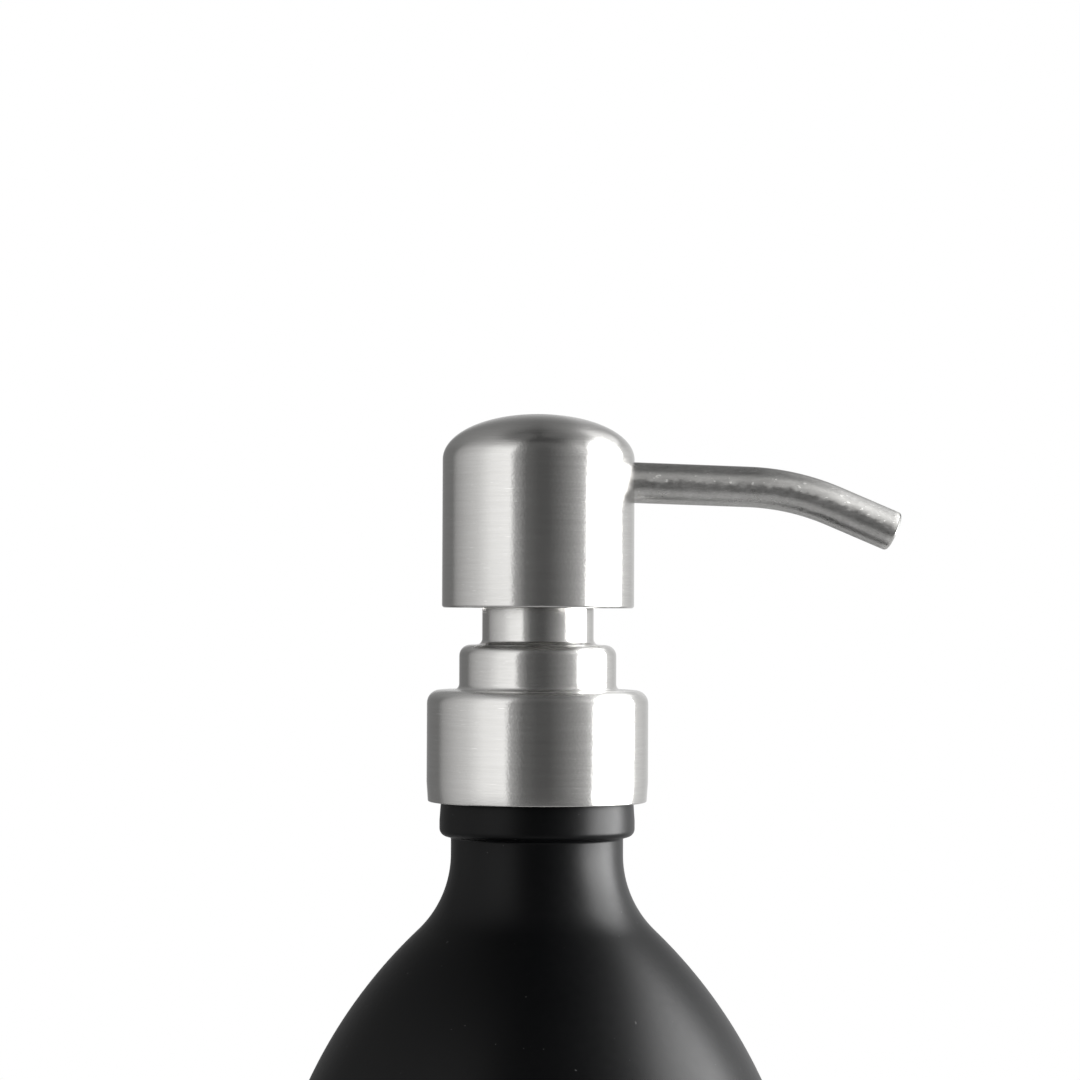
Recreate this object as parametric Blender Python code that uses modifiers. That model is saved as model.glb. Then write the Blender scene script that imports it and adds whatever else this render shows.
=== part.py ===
"""Soap pump dispenser: a matte black 500 ml glass bottle with a steel-clad lotion pump.

Units are metres and +Z is up. The origin is the centre of the bottle's flat base, every turned
piece shares the bottle's axis, and the spout points along +X. The pump stands at rest, head up.
"""

import math

import bmesh
import bpy
from mathutils import Matrix, Vector

# ---------------------------------------------------------------- driving dimensions
GAP = 0.0003  # left between pieces that touch
ROUND_STEPS = 32  # facets round the large turned pieces
SMALL_STEPS = 20  # facets round the small ones inside the pump
BALL_STEPS = 14
ARC_STEPS = 3  # facets in a rounded corner of 90 degrees
MERGE = 0.00001

# Bottle: body and shoulder
BODY_RADIUS = 0.0400
GLASS = 0.0030
HEEL_ROUND = 0.0060
FLOOR_Z = 0.0060  # top of the thick glass bottom
FLOOR_ROUND = 0.0090
SHOULDER_Z = 0.0900  # where the straight wall meets the shoulder
SHOULDER_ARC = 0.07285
SHOULDER_STEPS = 6

# Bottle: neck and its 28 mm screw finish
NECK_RADIUS = 0.0126
NECK_ARC = 0.0154  # hollow curve from the neck into the shoulder
NECK_STEPS = 4
BEAD_BOTTOM_Z = 0.1565
BEAD_TOP_Z = 0.1621
BEAD_RADIUS = 0.01428
BEAD_TOP_RADIUS = 0.01405
BEAD_ROUND = 0.0011
FINISH_RADIUS = 0.01255
LIP_Z = 0.1723
LIP_ROUND = 0.0008

# Thread of the finish and of the cap, right-handed, six turns to the inch
THREAD_PITCH = 0.004233
THREAD_Z = 0.1652  # height of the bottle's thread where it starts, on +X
THREAD_TURNS = 1.18
THREAD_BEAD = 0.0012
CAP_THREAD_DROP = 0.00205  # the cap's thread runs this far under the bottle's
CAP_THREAD_START = 0.25  # in turns from +X
CAP_THREAD_TURNS = 1.10
CAP_THREAD_BEAD = 0.0010
THREAD_POINTS = 18  # per turn

# Steel collar: three tiers drawn from one sheet
STEEL = 0.0005
COLLAR_RADIUS = 0.0162
COLLAR_BOTTOM_Z = 0.1616
COLLAR_TOP_Z = 0.1779
COLLAR_ROUND = 0.0019
COLLAR_TAPER_Z = 0.1645  # below this the wall draws in
COLLAR_FOOT_RADIUS = 0.0160
TIER_RADIUS = 0.0115
TIER_TOP_Z = 0.1845
TIER_ROUND = 0.0016
TIER_FILLET = 0.0009
SLEEVE_RADIUS = 0.00816
SLEEVE_TOP_Z = 0.1914
SLEEVE_FILLET = 0.0009

# Head
HEAD_RADIUS = 0.01407
HEAD_BOTTOM_Z = 0.1899
DOME_Z = 0.2116  # where the straight skirt meets the dome
HEAD_TOP_Z = 0.2183
DOME_POWER = 2.05  # of the dome's superellipse; 2 is an ellipse
DOME_STEPS = 8

# Spout: a bent steel tube with a plastic liner
SPOUT_RADIUS = 0.0030
SPOUT_WALL = 0.0004
LINER_RADIUS = 0.0023
LINER_WALL = 0.0006
LINER_RECESS = 0.0008
SPOUT_Z = 0.20880  # where the line of the straight run crosses the bottle's axis
SPOUT_DROP = 1.64  # degrees that the straight run slopes down
SPOUT_TIP_DROP = 22.5  # degrees that the end slopes down
SPOUT_ROOT_X = 0.0050
SPOUT_BEND_X = 0.0312
SPOUT_BEND_RADIUS = 0.0362
SPOUT_END_RUN = 0.0098  # straight length after the bend
SPOUT_BEND_STEPS = 5

# Screw cap inside the collar, and the washer under the pump's flange
CAP_RADIUS = 0.0153
CAP_WALL_RADIUS = 0.01405  # inside of the skirt
CAP_PLATE = 0.0015
CAP_BOTTOM_Z = 0.1630
CAP_ROUND = 0.0010
CAP_BOSS_RADIUS = 0.0107
CAP_BOSS_BORE = 0.0087
CAP_BOSS_ROUND = 0.0008
GASKET = 0.0012
GASKET_RADIUS = 0.0123
GASKET_BORE = 0.0094

# Pump cylinder
FLANGE = 0.0012
FLANGE_RADIUS = 0.0125
CYLINDER_BORE = 0.0060
CYLINDER_RADIUS = 0.0072
CYLINDER_TOP_RADIUS = 0.0070  # above the flange
LEDGE_Z = 0.1372  # carries the ball cage
CHAMBER_BORE = 0.0035
CHAMBER_RADIUS = 0.0050
SEAT_HOLE = 0.0014
SEAT_Z = 0.1298  # bottom of the ball's 45 degree seat
TAIL_RADIUS = 0.0047
TAIL_BORE = 0.0033
TAIL_TOP_Z = 0.1285
TAIL_BOTTOM_Z = 0.1170
VENT_RADIUS = 0.0006
VENT_Z = 0.1706

# Inlet valve and dip tube
BALL_RADIUS = 0.0025
CAGE = 0.0014
CAGE_RADIUS = 0.0056
CAGE_BORE = 0.0036
CAGE_BAR = 0.0010
DIP_TUBE_RADIUS = 0.0030
DIP_TUBE_BORE = 0.0019
DIP_TUBE_BOTTOM_Z = 0.0095
DIP_TUBE_CUT = 35.0  # degrees that the lower end is cut from square

# Plunger: stem, piston and the rod that holds the piston on
STEM_RADIUS = 0.0040
STEM_BORE = 0.0022
STEM_TOP_Z = 0.2038
STEM_FLANGE = 0.0012
STOP_RADIUS = 0.0055
STOP_TOP_Z = 0.1796
PUSHER_RADIUS = 0.0053
PUSHER_Z = 0.1756  # underside of the flange that pushes the piston down
PISTON_Z = 0.1670
PISTON_TOP_Z = 0.1743
PISTON_LIP = 0.0057
PISTON_WAIST = 0.0050
PISTON_BORE = 0.0024
ROD_FLANGE_RADIUS = 0.0049
ROD_FLANGE = 0.0015
ROD_TAIL_RADIUS = 0.0030
ROD_TAIL_Z = 0.1580
ROD_TAIL_ROUND = 0.0012
FIN_REACH = 0.00185  # half the width of the rod's crossed fins
FIN = 0.0010
FIN_TOP_Z = 0.1810

# Stem guide, snapped on the cylinder's top edge
GUIDE_RADIUS = 0.0074
GUIDE_MOUTH = 0.0064
GUIDE_TOP_Z = 0.1911
GUIDE_WEB_Z = 0.1814
GUIDE_WEB_TOP_Z = 0.1832
GUIDE_BUSH_RADIUS = 0.0055
GUIDE_BUSH_Z = 0.1799
GUIDE_SKIRT_RADIUS = 0.0084

# Head core
CORE_RADIUS = 0.01325
CORE_PLATE_Z = 0.2100
CORE_TOP_Z = 0.2116
CORE_SKIRT = 0.00105
CORE_SKIRT_Z = 0.2032
HUB_RADIUS = 0.0060
HUB_Z = 0.1959
BOSS_RADIUS = 0.0045
BOSS_START_X = 0.0030
BOSS_END_X = 0.0123
RIB = 0.0012
RIB_Z = 0.2045
CHANNEL_RADIUS = 0.0018
CHANNEL_TOP_Z = 0.2093

# Return spring
WIRE_RADIUS = 0.00045
SPRING_RADIUS = 0.0044  # to the middle of the wire
SPRING_OPEN_TURNS = 6
SPRING_END_PITCH = 0.00125  # of the closed turn at each end
SPRING_POINTS = 11  # per turn

# Heights that follow from the ones above
FLANGE_Z = LIP_Z + GASKET + 2 * GAP
CYLINDER_TOP_Z = GUIDE_WEB_Z - GAP
CAP_PLATE_Z = FLANGE_Z + FLANGE + GAP
CAP_TOP_Z = CAP_PLATE_Z + CAP_PLATE
CAP_BOSS_Z = TIER_TOP_Z - STEEL - GAP
CAGE_Z = LEDGE_Z + GAP
SPRING_LOW_Z = CAGE_Z + CAGE + GAP
ROD_FLANGE_TOP_Z = PISTON_Z - GAP
SPRING_HIGH_Z = ROD_FLANGE_TOP_Z - ROD_FLANGE - GAP
BALL_Z = SEAT_Z - SEAT_HOLE + (BALL_RADIUS + GAP) * math.sqrt(2)

# (red, green, blue), metallic, roughness
LOOKS = {
    "satin_black_glass": ((0.012, 0.013, 0.015), 0.0, 0.38),
    "brushed_steel": ((0.56, 0.55, 0.54), 1.0, 0.30),
    "spring_steel": ((0.62, 0.62, 0.62), 1.0, 0.22),
    "white_polypropylene": ((0.78, 0.78, 0.76), 0.0, 0.42),
    "natural_polyethylene": ((0.86, 0.87, 0.85), 0.0, 0.36),
    "grey_rubber": ((0.16, 0.16, 0.17), 0.0, 0.75),
}


# ---------------------------------------------------------------- scene and helpers
def clear_scene():
    for obj in list(bpy.data.objects):
        bpy.data.objects.remove(obj)


def new_collection(name):
    collection = bpy.data.collections.new(name)
    bpy.context.scene.collection.children.link(collection)
    return collection


def new_material(name, suffix):
    colour, metallic, roughness = LOOKS[name]
    material = bpy.data.materials.new(f"{name}_{suffix}")
    material.use_nodes = True
    shader = material.node_tree.nodes["Principled BSDF"]
    shader.inputs["Base Color"].default_value = (*colour, 1.0)
    shader.inputs["Metallic"].default_value = metallic
    shader.inputs["Roughness"].default_value = roughness
    material.diffuse_color = (*colour, 1.0)
    return material


def new_object(name, mesh, look=None):
    """The object of a piece, with its material, or of a cutter when no look is given."""
    obj = bpy.data.objects.new(name, mesh)
    if look:
        mesh.materials.append(new_material(look, name))
        PIECES.objects.link(obj)
    else:
        obj.hide_render = True
        obj.display_type = "WIRE"
        CUTTERS.objects.link(obj)
    return obj


def smooth(mesh, degrees=35.0):
    mesh.shade_smooth()
    mesh.set_sharp_from_angle(angle=math.radians(degrees))


def arc(centre, radius, start, end, steps):
    """Points (radius, height) on an arc; the angles are in degrees from the outward direction."""
    points = []
    for step in range(steps + 1):
        angle = math.radians(start + (end - start) * step / steps)
        points.append((centre[0] + radius * math.cos(angle), centre[1] + radius * math.sin(angle)))
    return points


def rounded(corners, closed=True):
    """The profile through corners (radius, height) or (radius, height, rounding)."""
    points = []
    last = len(corners) - 1
    for index, corner in enumerate(corners):
        here = Vector(corner[:2])
        if len(corner) == 2 or (not closed and index in (0, last)):
            points.append(tuple(here))
            continue
        before = (Vector(corners[index - 1][:2]) - here).normalized()
        after = (Vector(corners[(index + 1) % len(corners)][:2]) - here).normalized()
        half = before.angle(after) / 2
        centre = here + (before + after).normalized() * corner[2] / math.sin(half)
        start = here + before * corner[2] / math.tan(half) - centre
        end = here + after * corner[2] / math.tan(half) - centre
        first = math.degrees(math.atan2(start.y, start.x))
        sweep = math.degrees(math.atan2(start.cross(end), start.dot(end)))
        steps = max(1, round(abs(sweep) / 90 * ARC_STEPS))
        points += arc(centre, corner[2], first, first + sweep, steps)
    return points


def turned(name, profile, look, steps=ROUND_STEPS, closed=True):
    """A piece turned round the bottle's axis; its profile runs down the outer side."""
    mesh = bpy.data.meshes.new(name)
    count = len(profile)
    edges = [(index, index + 1) for index in range(count - 1)]
    if closed:
        edges.append((count - 1, 0))
    mesh.from_pydata([(radius, 0.0, height) for radius, height in profile], edges, [])
    obj = new_object(name, mesh, look)
    screw = obj.modifiers.new("Turn", "SCREW")
    screw.axis = "Z"
    screw.angle = 2 * math.pi
    screw.steps = steps
    screw.render_steps = steps
    screw.use_merge_vertices = True
    screw.merge_threshold = MERGE
    screw.use_smooth_shade = True
    return obj


def cylinder(name, radius, start, end, steps=SMALL_STEPS):
    """A round cutter, or a shape to be joined on, that runs from start to end."""
    along = Vector(end) - Vector(start)
    shape = bmesh.new()
    bmesh.ops.create_cone(
        shape, cap_ends=True, segments=steps, radius1=radius, radius2=radius, depth=along.length
    )
    turn = along.to_track_quat("Z", "Y").to_matrix().to_4x4()
    middle = Matrix.Translation((Vector(start) + Vector(end)) / 2)
    bmesh.ops.transform(shape, matrix=middle @ turn, verts=shape.verts)
    mesh = bpy.data.meshes.new(name)
    shape.to_mesh(mesh)
    shape.free()
    return new_object(name, mesh)


def box(name, low, high, turn=0.0):
    """A box from low to high, turned about the bottle's axis by some degrees."""
    shape = bmesh.new()
    bmesh.ops.create_cube(shape, size=1.0)
    size = Vector(high) - Vector(low)
    place = Matrix.Translation((Vector(low) + Vector(high)) / 2) @ Matrix.Diagonal((*size, 1.0))
    bmesh.ops.transform(
        shape, matrix=Matrix.Rotation(math.radians(turn), 4, "Z") @ place, verts=shape.verts
    )
    mesh = bpy.data.meshes.new(name)
    shape.to_mesh(mesh)
    shape.free()
    return new_object(name, mesh)


def boolean(obj, operation, other):
    modifier = obj.modifiers.new(f"{operation.title()} {other.name}", "BOOLEAN")
    modifier.operation = operation
    modifier.solver = "EXACT"
    modifier.object = other


def swept(name, path, radius, sides, capped=True, radii=None):
    """The mesh of a round wire along a path; sides is even."""
    curve = bpy.data.curves.new(name, "CURVE")
    curve.dimensions = "3D"
    curve.twist_mode = "Z_UP"
    curve.bevel_depth = radius
    curve.bevel_resolution = sides // 2 - 2
    curve.use_fill_caps = capped
    spline = curve.splines.new("POLY")
    spline.points.add(len(path) - 1)
    for index, (point, place) in enumerate(zip(spline.points, path)):
        point.co = (*place, 1.0)
        point.radius = radii[index] if radii else 1.0
    helper = bpy.data.objects.new(f"{name}_path", curve)
    CUTTERS.objects.link(helper)
    bpy.context.view_layer.update()
    graph = bpy.context.evaluated_depsgraph_get()
    mesh = bpy.data.meshes.new_from_object(helper.evaluated_get(graph))
    bpy.data.objects.remove(helper)
    shape = bmesh.new()
    shape.from_mesh(mesh)
    bmesh.ops.remove_doubles(shape, verts=shape.verts, dist=MERGE)
    bmesh.ops.recalc_face_normals(shape, faces=shape.faces)
    shape.to_mesh(mesh)
    shape.free()
    mesh.name = name
    return mesh


def helix(radius, pitch, start_z, start_turn, turns, points):
    path = []
    count = round(turns * points)
    for index in range(count + 1):
        turn = start_turn + turns * index / count
        angle = 2 * math.pi * turn
        path.append((radius * math.cos(angle), radius * math.sin(angle), start_z + pitch * turn))
    return path


def thread_ridge(name, radius, start_z, start_turn, turns, bead):
    """A screw thread to join on to a wall, fading out at both ends."""
    path = helix(radius, THREAD_PITCH, start_z, start_turn, turns, THREAD_POINTS)
    radii = [1.0] * len(path)
    radii[0] = 0.45
    radii[1] = 0.8
    radii[-1] = 0.45
    radii[-2] = 0.8
    return new_object(name, swept(name, path, bead, 6, radii=radii))


# ---------------------------------------------------------------- bottle
def make_bottle():
    slope = math.degrees(
        math.acos(
            (NECK_ARC + NECK_RADIUS + SHOULDER_ARC - BODY_RADIUS) / (NECK_ARC + SHOULDER_ARC)
        )
    )
    shoulder = (BODY_RADIUS - SHOULDER_ARC, SHOULDER_Z)
    neck_z = SHOULDER_Z + (SHOULDER_ARC + NECK_ARC) * math.sin(math.radians(slope))
    neck = (NECK_RADIUS + NECK_ARC, neck_z)
    bore = NECK_RADIUS - GLASS
    inside = rounded(
        [
            (0.0, FLOOR_Z),
            (BODY_RADIUS - GLASS, FLOOR_Z, FLOOR_ROUND),
            (BODY_RADIUS - GLASS, SHOULDER_Z),
        ],
        closed=False,
    )
    inside += arc(shoulder, SHOULDER_ARC - GLASS, 0, slope, SHOULDER_STEPS)[1:]
    inside += arc(neck, NECK_ARC + GLASS, 180 + slope, 180, NECK_STEPS)[1:]
    finish = rounded(
        [
            inside[-1],
            (bore, LIP_Z),
            (FINISH_RADIUS, LIP_Z, LIP_ROUND),
            (FINISH_RADIUS, BEAD_TOP_Z),
            (BEAD_TOP_RADIUS, BEAD_TOP_Z, 0.0005),
            (BEAD_RADIUS, BEAD_BOTTOM_Z + 0.002),
            (BEAD_RADIUS, BEAD_BOTTOM_Z, BEAD_ROUND),
            (NECK_RADIUS, BEAD_BOTTOM_Z),
        ],
        closed=False,
    )[1:]
    outside = arc(neck, NECK_ARC, 180, 180 + slope, NECK_STEPS)
    outside += arc(shoulder, SHOULDER_ARC, slope, 0, SHOULDER_STEPS)[1:]
    heel = rounded(
        [outside[-1], (BODY_RADIUS, 0.0, HEEL_ROUND), (0.0, 0.0)],
        closed=False,
    )[1:]
    profile = inside + finish + outside + heel
    bottle = turned("bottle", profile, "satin_black_glass", closed=False)
    ridge = thread_ridge(
        "finish_thread", FINISH_RADIUS, THREAD_Z, 0.0, THREAD_TURNS, THREAD_BEAD
    )
    boolean(bottle, "UNION", ridge)


# ---------------------------------------------------------------- closure
def make_collar_shell():
    outside = rounded(
        [
            (SLEEVE_RADIUS, SLEEVE_TOP_Z),
            (SLEEVE_RADIUS, TIER_TOP_Z, SLEEVE_FILLET),
            (TIER_RADIUS, TIER_TOP_Z, TIER_ROUND),
            (TIER_RADIUS, COLLAR_TOP_Z, TIER_FILLET),
            (COLLAR_RADIUS, COLLAR_TOP_Z, COLLAR_ROUND),
            (COLLAR_RADIUS, COLLAR_TAPER_Z),
            (COLLAR_FOOT_RADIUS, COLLAR_BOTTOM_Z),
        ],
        closed=False,
    )
    inside = rounded(
        [
            (COLLAR_FOOT_RADIUS - STEEL, COLLAR_BOTTOM_Z),
            (COLLAR_RADIUS - STEEL, COLLAR_TAPER_Z),
            (COLLAR_RADIUS - STEEL, COLLAR_TOP_Z - STEEL, COLLAR_ROUND - STEEL),
            (TIER_RADIUS - STEEL, COLLAR_TOP_Z - STEEL, TIER_FILLET + STEEL),
            (TIER_RADIUS - STEEL, TIER_TOP_Z - STEEL, TIER_ROUND - STEEL),
            (SLEEVE_RADIUS - STEEL, TIER_TOP_Z - STEEL, SLEEVE_FILLET + STEEL),
            (SLEEVE_RADIUS - STEEL, SLEEVE_TOP_Z),
        ],
        closed=False,
    )
    turned("collar_shell", outside + inside, "brushed_steel")


def make_screw_cap():
    profile = rounded(
        [
            (CAP_BOSS_RADIUS, CAP_BOSS_Z, CAP_BOSS_ROUND),
            (CAP_BOSS_RADIUS, CAP_TOP_Z),
            (CAP_RADIUS, CAP_TOP_Z, CAP_ROUND),
            (CAP_RADIUS, CAP_BOTTOM_Z),
            (CAP_WALL_RADIUS, CAP_BOTTOM_Z),
            (CAP_WALL_RADIUS, CAP_PLATE_Z),
            (CAP_BOSS_BORE, CAP_PLATE_Z),
            (CAP_BOSS_BORE, CAP_BOSS_Z),
        ]
    )
    cap = turned("screw_cap", profile, "white_polypropylene")
    ridge = thread_ridge(
        "cap_thread",
        CAP_WALL_RADIUS,
        THREAD_Z - CAP_THREAD_DROP,
        CAP_THREAD_START,
        CAP_THREAD_TURNS,
        CAP_THREAD_BEAD,
    )
    boolean(cap, "UNION", ridge)


def make_gasket():
    low = LIP_Z + GAP
    high = low + GASKET
    profile = [(GASKET_RADIUS, high), (GASKET_RADIUS, low), (GASKET_BORE, low), (GASKET_BORE, high)]
    turned("neck_gasket", profile, "grey_rubber", SMALL_STEPS)


# ---------------------------------------------------------------- pump body
def make_cylinder():
    step = CYLINDER_RADIUS - CHAMBER_RADIUS
    profile = [
        (CYLINDER_TOP_RADIUS, CYLINDER_TOP_Z),
        (CYLINDER_TOP_RADIUS, FLANGE_Z + FLANGE),
        (FLANGE_RADIUS, FLANGE_Z + FLANGE),
        (FLANGE_RADIUS, FLANGE_Z),
        (CYLINDER_RADIUS, FLANGE_Z),
        (CYLINDER_RADIUS, LEDGE_Z - FLANGE),
        (CHAMBER_RADIUS, LEDGE_Z - FLANGE - step),
        (CHAMBER_RADIUS, TAIL_TOP_Z),
        (TAIL_RADIUS, TAIL_TOP_Z - 0.0006),
        (TAIL_RADIUS, TAIL_BOTTOM_Z),
        (TAIL_BORE, TAIL_BOTTOM_Z),
        (TAIL_BORE, TAIL_TOP_Z),
        (SEAT_HOLE, TAIL_TOP_Z),
        (SEAT_HOLE, SEAT_Z),
        (CHAMBER_BORE, SEAT_Z + CHAMBER_BORE - SEAT_HOLE),
        (CHAMBER_BORE, LEDGE_Z),
        (CYLINDER_BORE, LEDGE_Z),
        (CYLINDER_BORE, CYLINDER_TOP_Z),
    ]
    housing = turned("pump_cylinder", profile, "natural_polyethylene", SMALL_STEPS)
    vent = cylinder("vent_hole", VENT_RADIUS, (0.0, 0.004, VENT_Z), (0.0, 0.009, VENT_Z), 8)
    boolean(housing, "DIFFERENCE", vent)


def make_stem_guide():
    skirt_bore = CYLINDER_TOP_RADIUS + GAP
    profile = [
        (GUIDE_RADIUS, GUIDE_TOP_Z),
        (GUIDE_RADIUS, GUIDE_WEB_TOP_Z),
        (GUIDE_SKIRT_RADIUS, GUIDE_WEB_TOP_Z - 0.0004),
        (GUIDE_SKIRT_RADIUS, FLANGE_Z + FLANGE + GAP),
        (skirt_bore, FLANGE_Z + FLANGE + GAP),
        (skirt_bore, GUIDE_WEB_Z),
        (GUIDE_BUSH_RADIUS, GUIDE_WEB_Z),
        (GUIDE_BUSH_RADIUS, GUIDE_BUSH_Z),
        (STEM_RADIUS + GAP, GUIDE_BUSH_Z),
        (STEM_RADIUS + GAP, GUIDE_WEB_TOP_Z),
        (GUIDE_MOUTH, GUIDE_WEB_TOP_Z),
        (GUIDE_MOUTH, GUIDE_TOP_Z),
    ]
    turned("stem_guide", profile, "white_polypropylene", SMALL_STEPS)


def make_ball_cage():
    high = CAGE_Z + CAGE
    profile = [(CAGE_RADIUS, high), (CAGE_RADIUS, CAGE_Z), (CAGE_BORE, CAGE_Z), (CAGE_BORE, high)]
    cage = turned("ball_cage", profile, "white_polypropylene", SMALL_STEPS)
    reach = (CAGE_BORE + CAGE_RADIUS) / 2
    bar = box(
        "cage_bar",
        (-reach, -CAGE_BAR / 2, CAGE_Z + 0.0002),
        (reach, CAGE_BAR / 2, high - 0.0002),
    )
    boolean(cage, "UNION", bar)


def make_ball():
    profile = arc((0.0, BALL_Z), BALL_RADIUS, 90, -90, BALL_STEPS // 2)
    profile[0] = (0.0, BALL_Z + BALL_RADIUS)
    profile[-1] = (0.0, BALL_Z - BALL_RADIUS)
    turned("inlet_ball", profile, "spring_steel", BALL_STEPS, closed=False)


def make_dip_tube():
    high = TAIL_TOP_Z - GAP
    low = DIP_TUBE_BOTTOM_Z
    profile = [
        (DIP_TUBE_RADIUS, high),
        (DIP_TUBE_RADIUS, low),
        (DIP_TUBE_BORE, low),
        (DIP_TUBE_BORE, high),
    ]
    tube = turned("dip_tube", profile, "natural_polyethylene", SMALL_STEPS)
    # A tilted block leaves the lower end slanting, so that it can't seal on the glass.
    cut = math.radians(DIP_TUBE_CUT)
    block = bmesh.new()
    bmesh.ops.create_cube(block, size=0.02)
    place = Matrix.Translation((-DIP_TUBE_RADIUS, 0.0, low)) @ Matrix.Rotation(-cut, 4, "Y")
    bmesh.ops.transform(
        block, matrix=place @ Matrix.Translation((0.0, 0.0, -0.01)), verts=block.verts
    )
    mesh = bpy.data.meshes.new("tube_end_cut")
    block.to_mesh(mesh)
    block.free()
    boolean(tube, "DIFFERENCE", new_object("tube_end_cut", mesh))


def make_spring():
    closed = SPRING_END_PITCH
    low = SPRING_LOW_Z + WIRE_RADIUS
    high = SPRING_HIGH_Z - WIRE_RADIUS
    turns = SPRING_OPEN_TURNS + 2
    path = []
    for index in range(turns * SPRING_POINTS + 1):
        turn = index / SPRING_POINTS
        share = min(max(turn - 1, 0.0), SPRING_OPEN_TURNS) / SPRING_OPEN_TURNS
        ends = closed * (min(turn, 1.0) + max(turn - turns + 1, 0.0))
        height = low + ends + share * (high - low - 2 * closed)
        angle = 2 * math.pi * turn
        path.append((SPRING_RADIUS * math.cos(angle), SPRING_RADIUS * math.sin(angle), height))
    mesh = swept("return_spring", path, WIRE_RADIUS, 8)
    smooth(mesh, 60.0)
    new_object("return_spring", mesh, "spring_steel")


# ---------------------------------------------------------------- plunger
def make_stem():
    profile = [
        (STEM_RADIUS, STEM_TOP_Z),
        (STEM_RADIUS, STOP_TOP_Z),
        (STOP_RADIUS, STOP_TOP_Z),
        (STOP_RADIUS, STOP_TOP_Z - STEM_FLANGE),
        (STEM_RADIUS, STOP_TOP_Z - STEM_FLANGE),
        (STEM_RADIUS, PUSHER_Z + STEM_FLANGE),
        (PUSHER_RADIUS, PUSHER_Z + STEM_FLANGE),
        (PUSHER_RADIUS, PUSHER_Z),
        (STEM_BORE, PUSHER_Z),
        (STEM_BORE, STEM_TOP_Z),
    ]
    turned("stem", profile, "white_polypropylene", SMALL_STEPS)


def make_piston():
    profile = [
        (PISTON_LIP, PISTON_TOP_Z),
        (PISTON_LIP, PISTON_TOP_Z - 0.0010),
        (PISTON_WAIST, PISTON_TOP_Z - 0.0020),
        (PISTON_WAIST, PISTON_Z + 0.0020),
        (PISTON_LIP, PISTON_Z + 0.0010),
        (PISTON_LIP, PISTON_Z),
        (PISTON_BORE, PISTON_Z),
        (PISTON_BORE, PISTON_TOP_Z),
        (0.0037, PISTON_TOP_Z),
        (0.0042, PISTON_TOP_Z - 0.0021),
        (0.0051, PISTON_TOP_Z),
    ]
    turned("piston", profile, "natural_polyethylene", SMALL_STEPS)


def make_rod():
    under = ROD_FLANGE_TOP_Z - ROD_FLANGE
    profile = rounded(
        [
            (0.0, ROD_FLANGE_TOP_Z),
            (ROD_FLANGE_RADIUS, ROD_FLANGE_TOP_Z),
            (ROD_FLANGE_RADIUS, under),
            (ROD_TAIL_RADIUS, under),
            (ROD_TAIL_RADIUS, ROD_TAIL_Z, ROD_TAIL_ROUND),
            (0.0, ROD_TAIL_Z),
        ],
        closed=False,
    )
    rod = turned("piston_rod", profile, "white_polypropylene", SMALL_STEPS, closed=False)
    low = ROD_FLANGE_TOP_Z - ROD_FLANGE / 2
    fin = box("rod_fin", (-FIN_REACH, -FIN / 2, low), (FIN_REACH, FIN / 2, FIN_TOP_Z))
    cross = box(
        "rod_cross_fin",
        (-FIN_REACH, -FIN / 2, low - 0.0002),
        (FIN_REACH, FIN / 2, FIN_TOP_Z - 0.0004),
        90.0,
    )
    boolean(rod, "UNION", fin)
    boolean(rod, "UNION", cross)


# ---------------------------------------------------------------- head
def spout_point(x):
    """A point on the line of the spout's straight run."""
    return (x, 0.0, SPOUT_Z - x * math.tan(math.radians(SPOUT_DROP)))


def make_head_shell():
    profile = []
    for wall in (0.0, STEEL):
        side = []
        reach = HEAD_RADIUS - wall
        rise = HEAD_TOP_Z - DOME_Z - wall
        for step in range(DOME_STEPS + 1):
            angle = math.pi / 2 * step / DOME_STEPS
            radius = reach * math.sin(angle) ** (2 / DOME_POWER)
            height = rise * max(math.cos(angle), 0.0) ** (2 / DOME_POWER)
            side.append((radius, DOME_Z + height))
        side[-1] = (reach, DOME_Z)
        side.append((reach, HEAD_BOTTOM_Z))
        profile += side if wall == 0.0 else side[::-1]
    shell = turned("head_shell", profile, "brushed_steel", closed=False)
    hole = cylinder("spout_hole", SPOUT_RADIUS + GAP, spout_point(0.010), spout_point(0.018))
    boolean(shell, "DIFFERENCE", hole)


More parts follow.
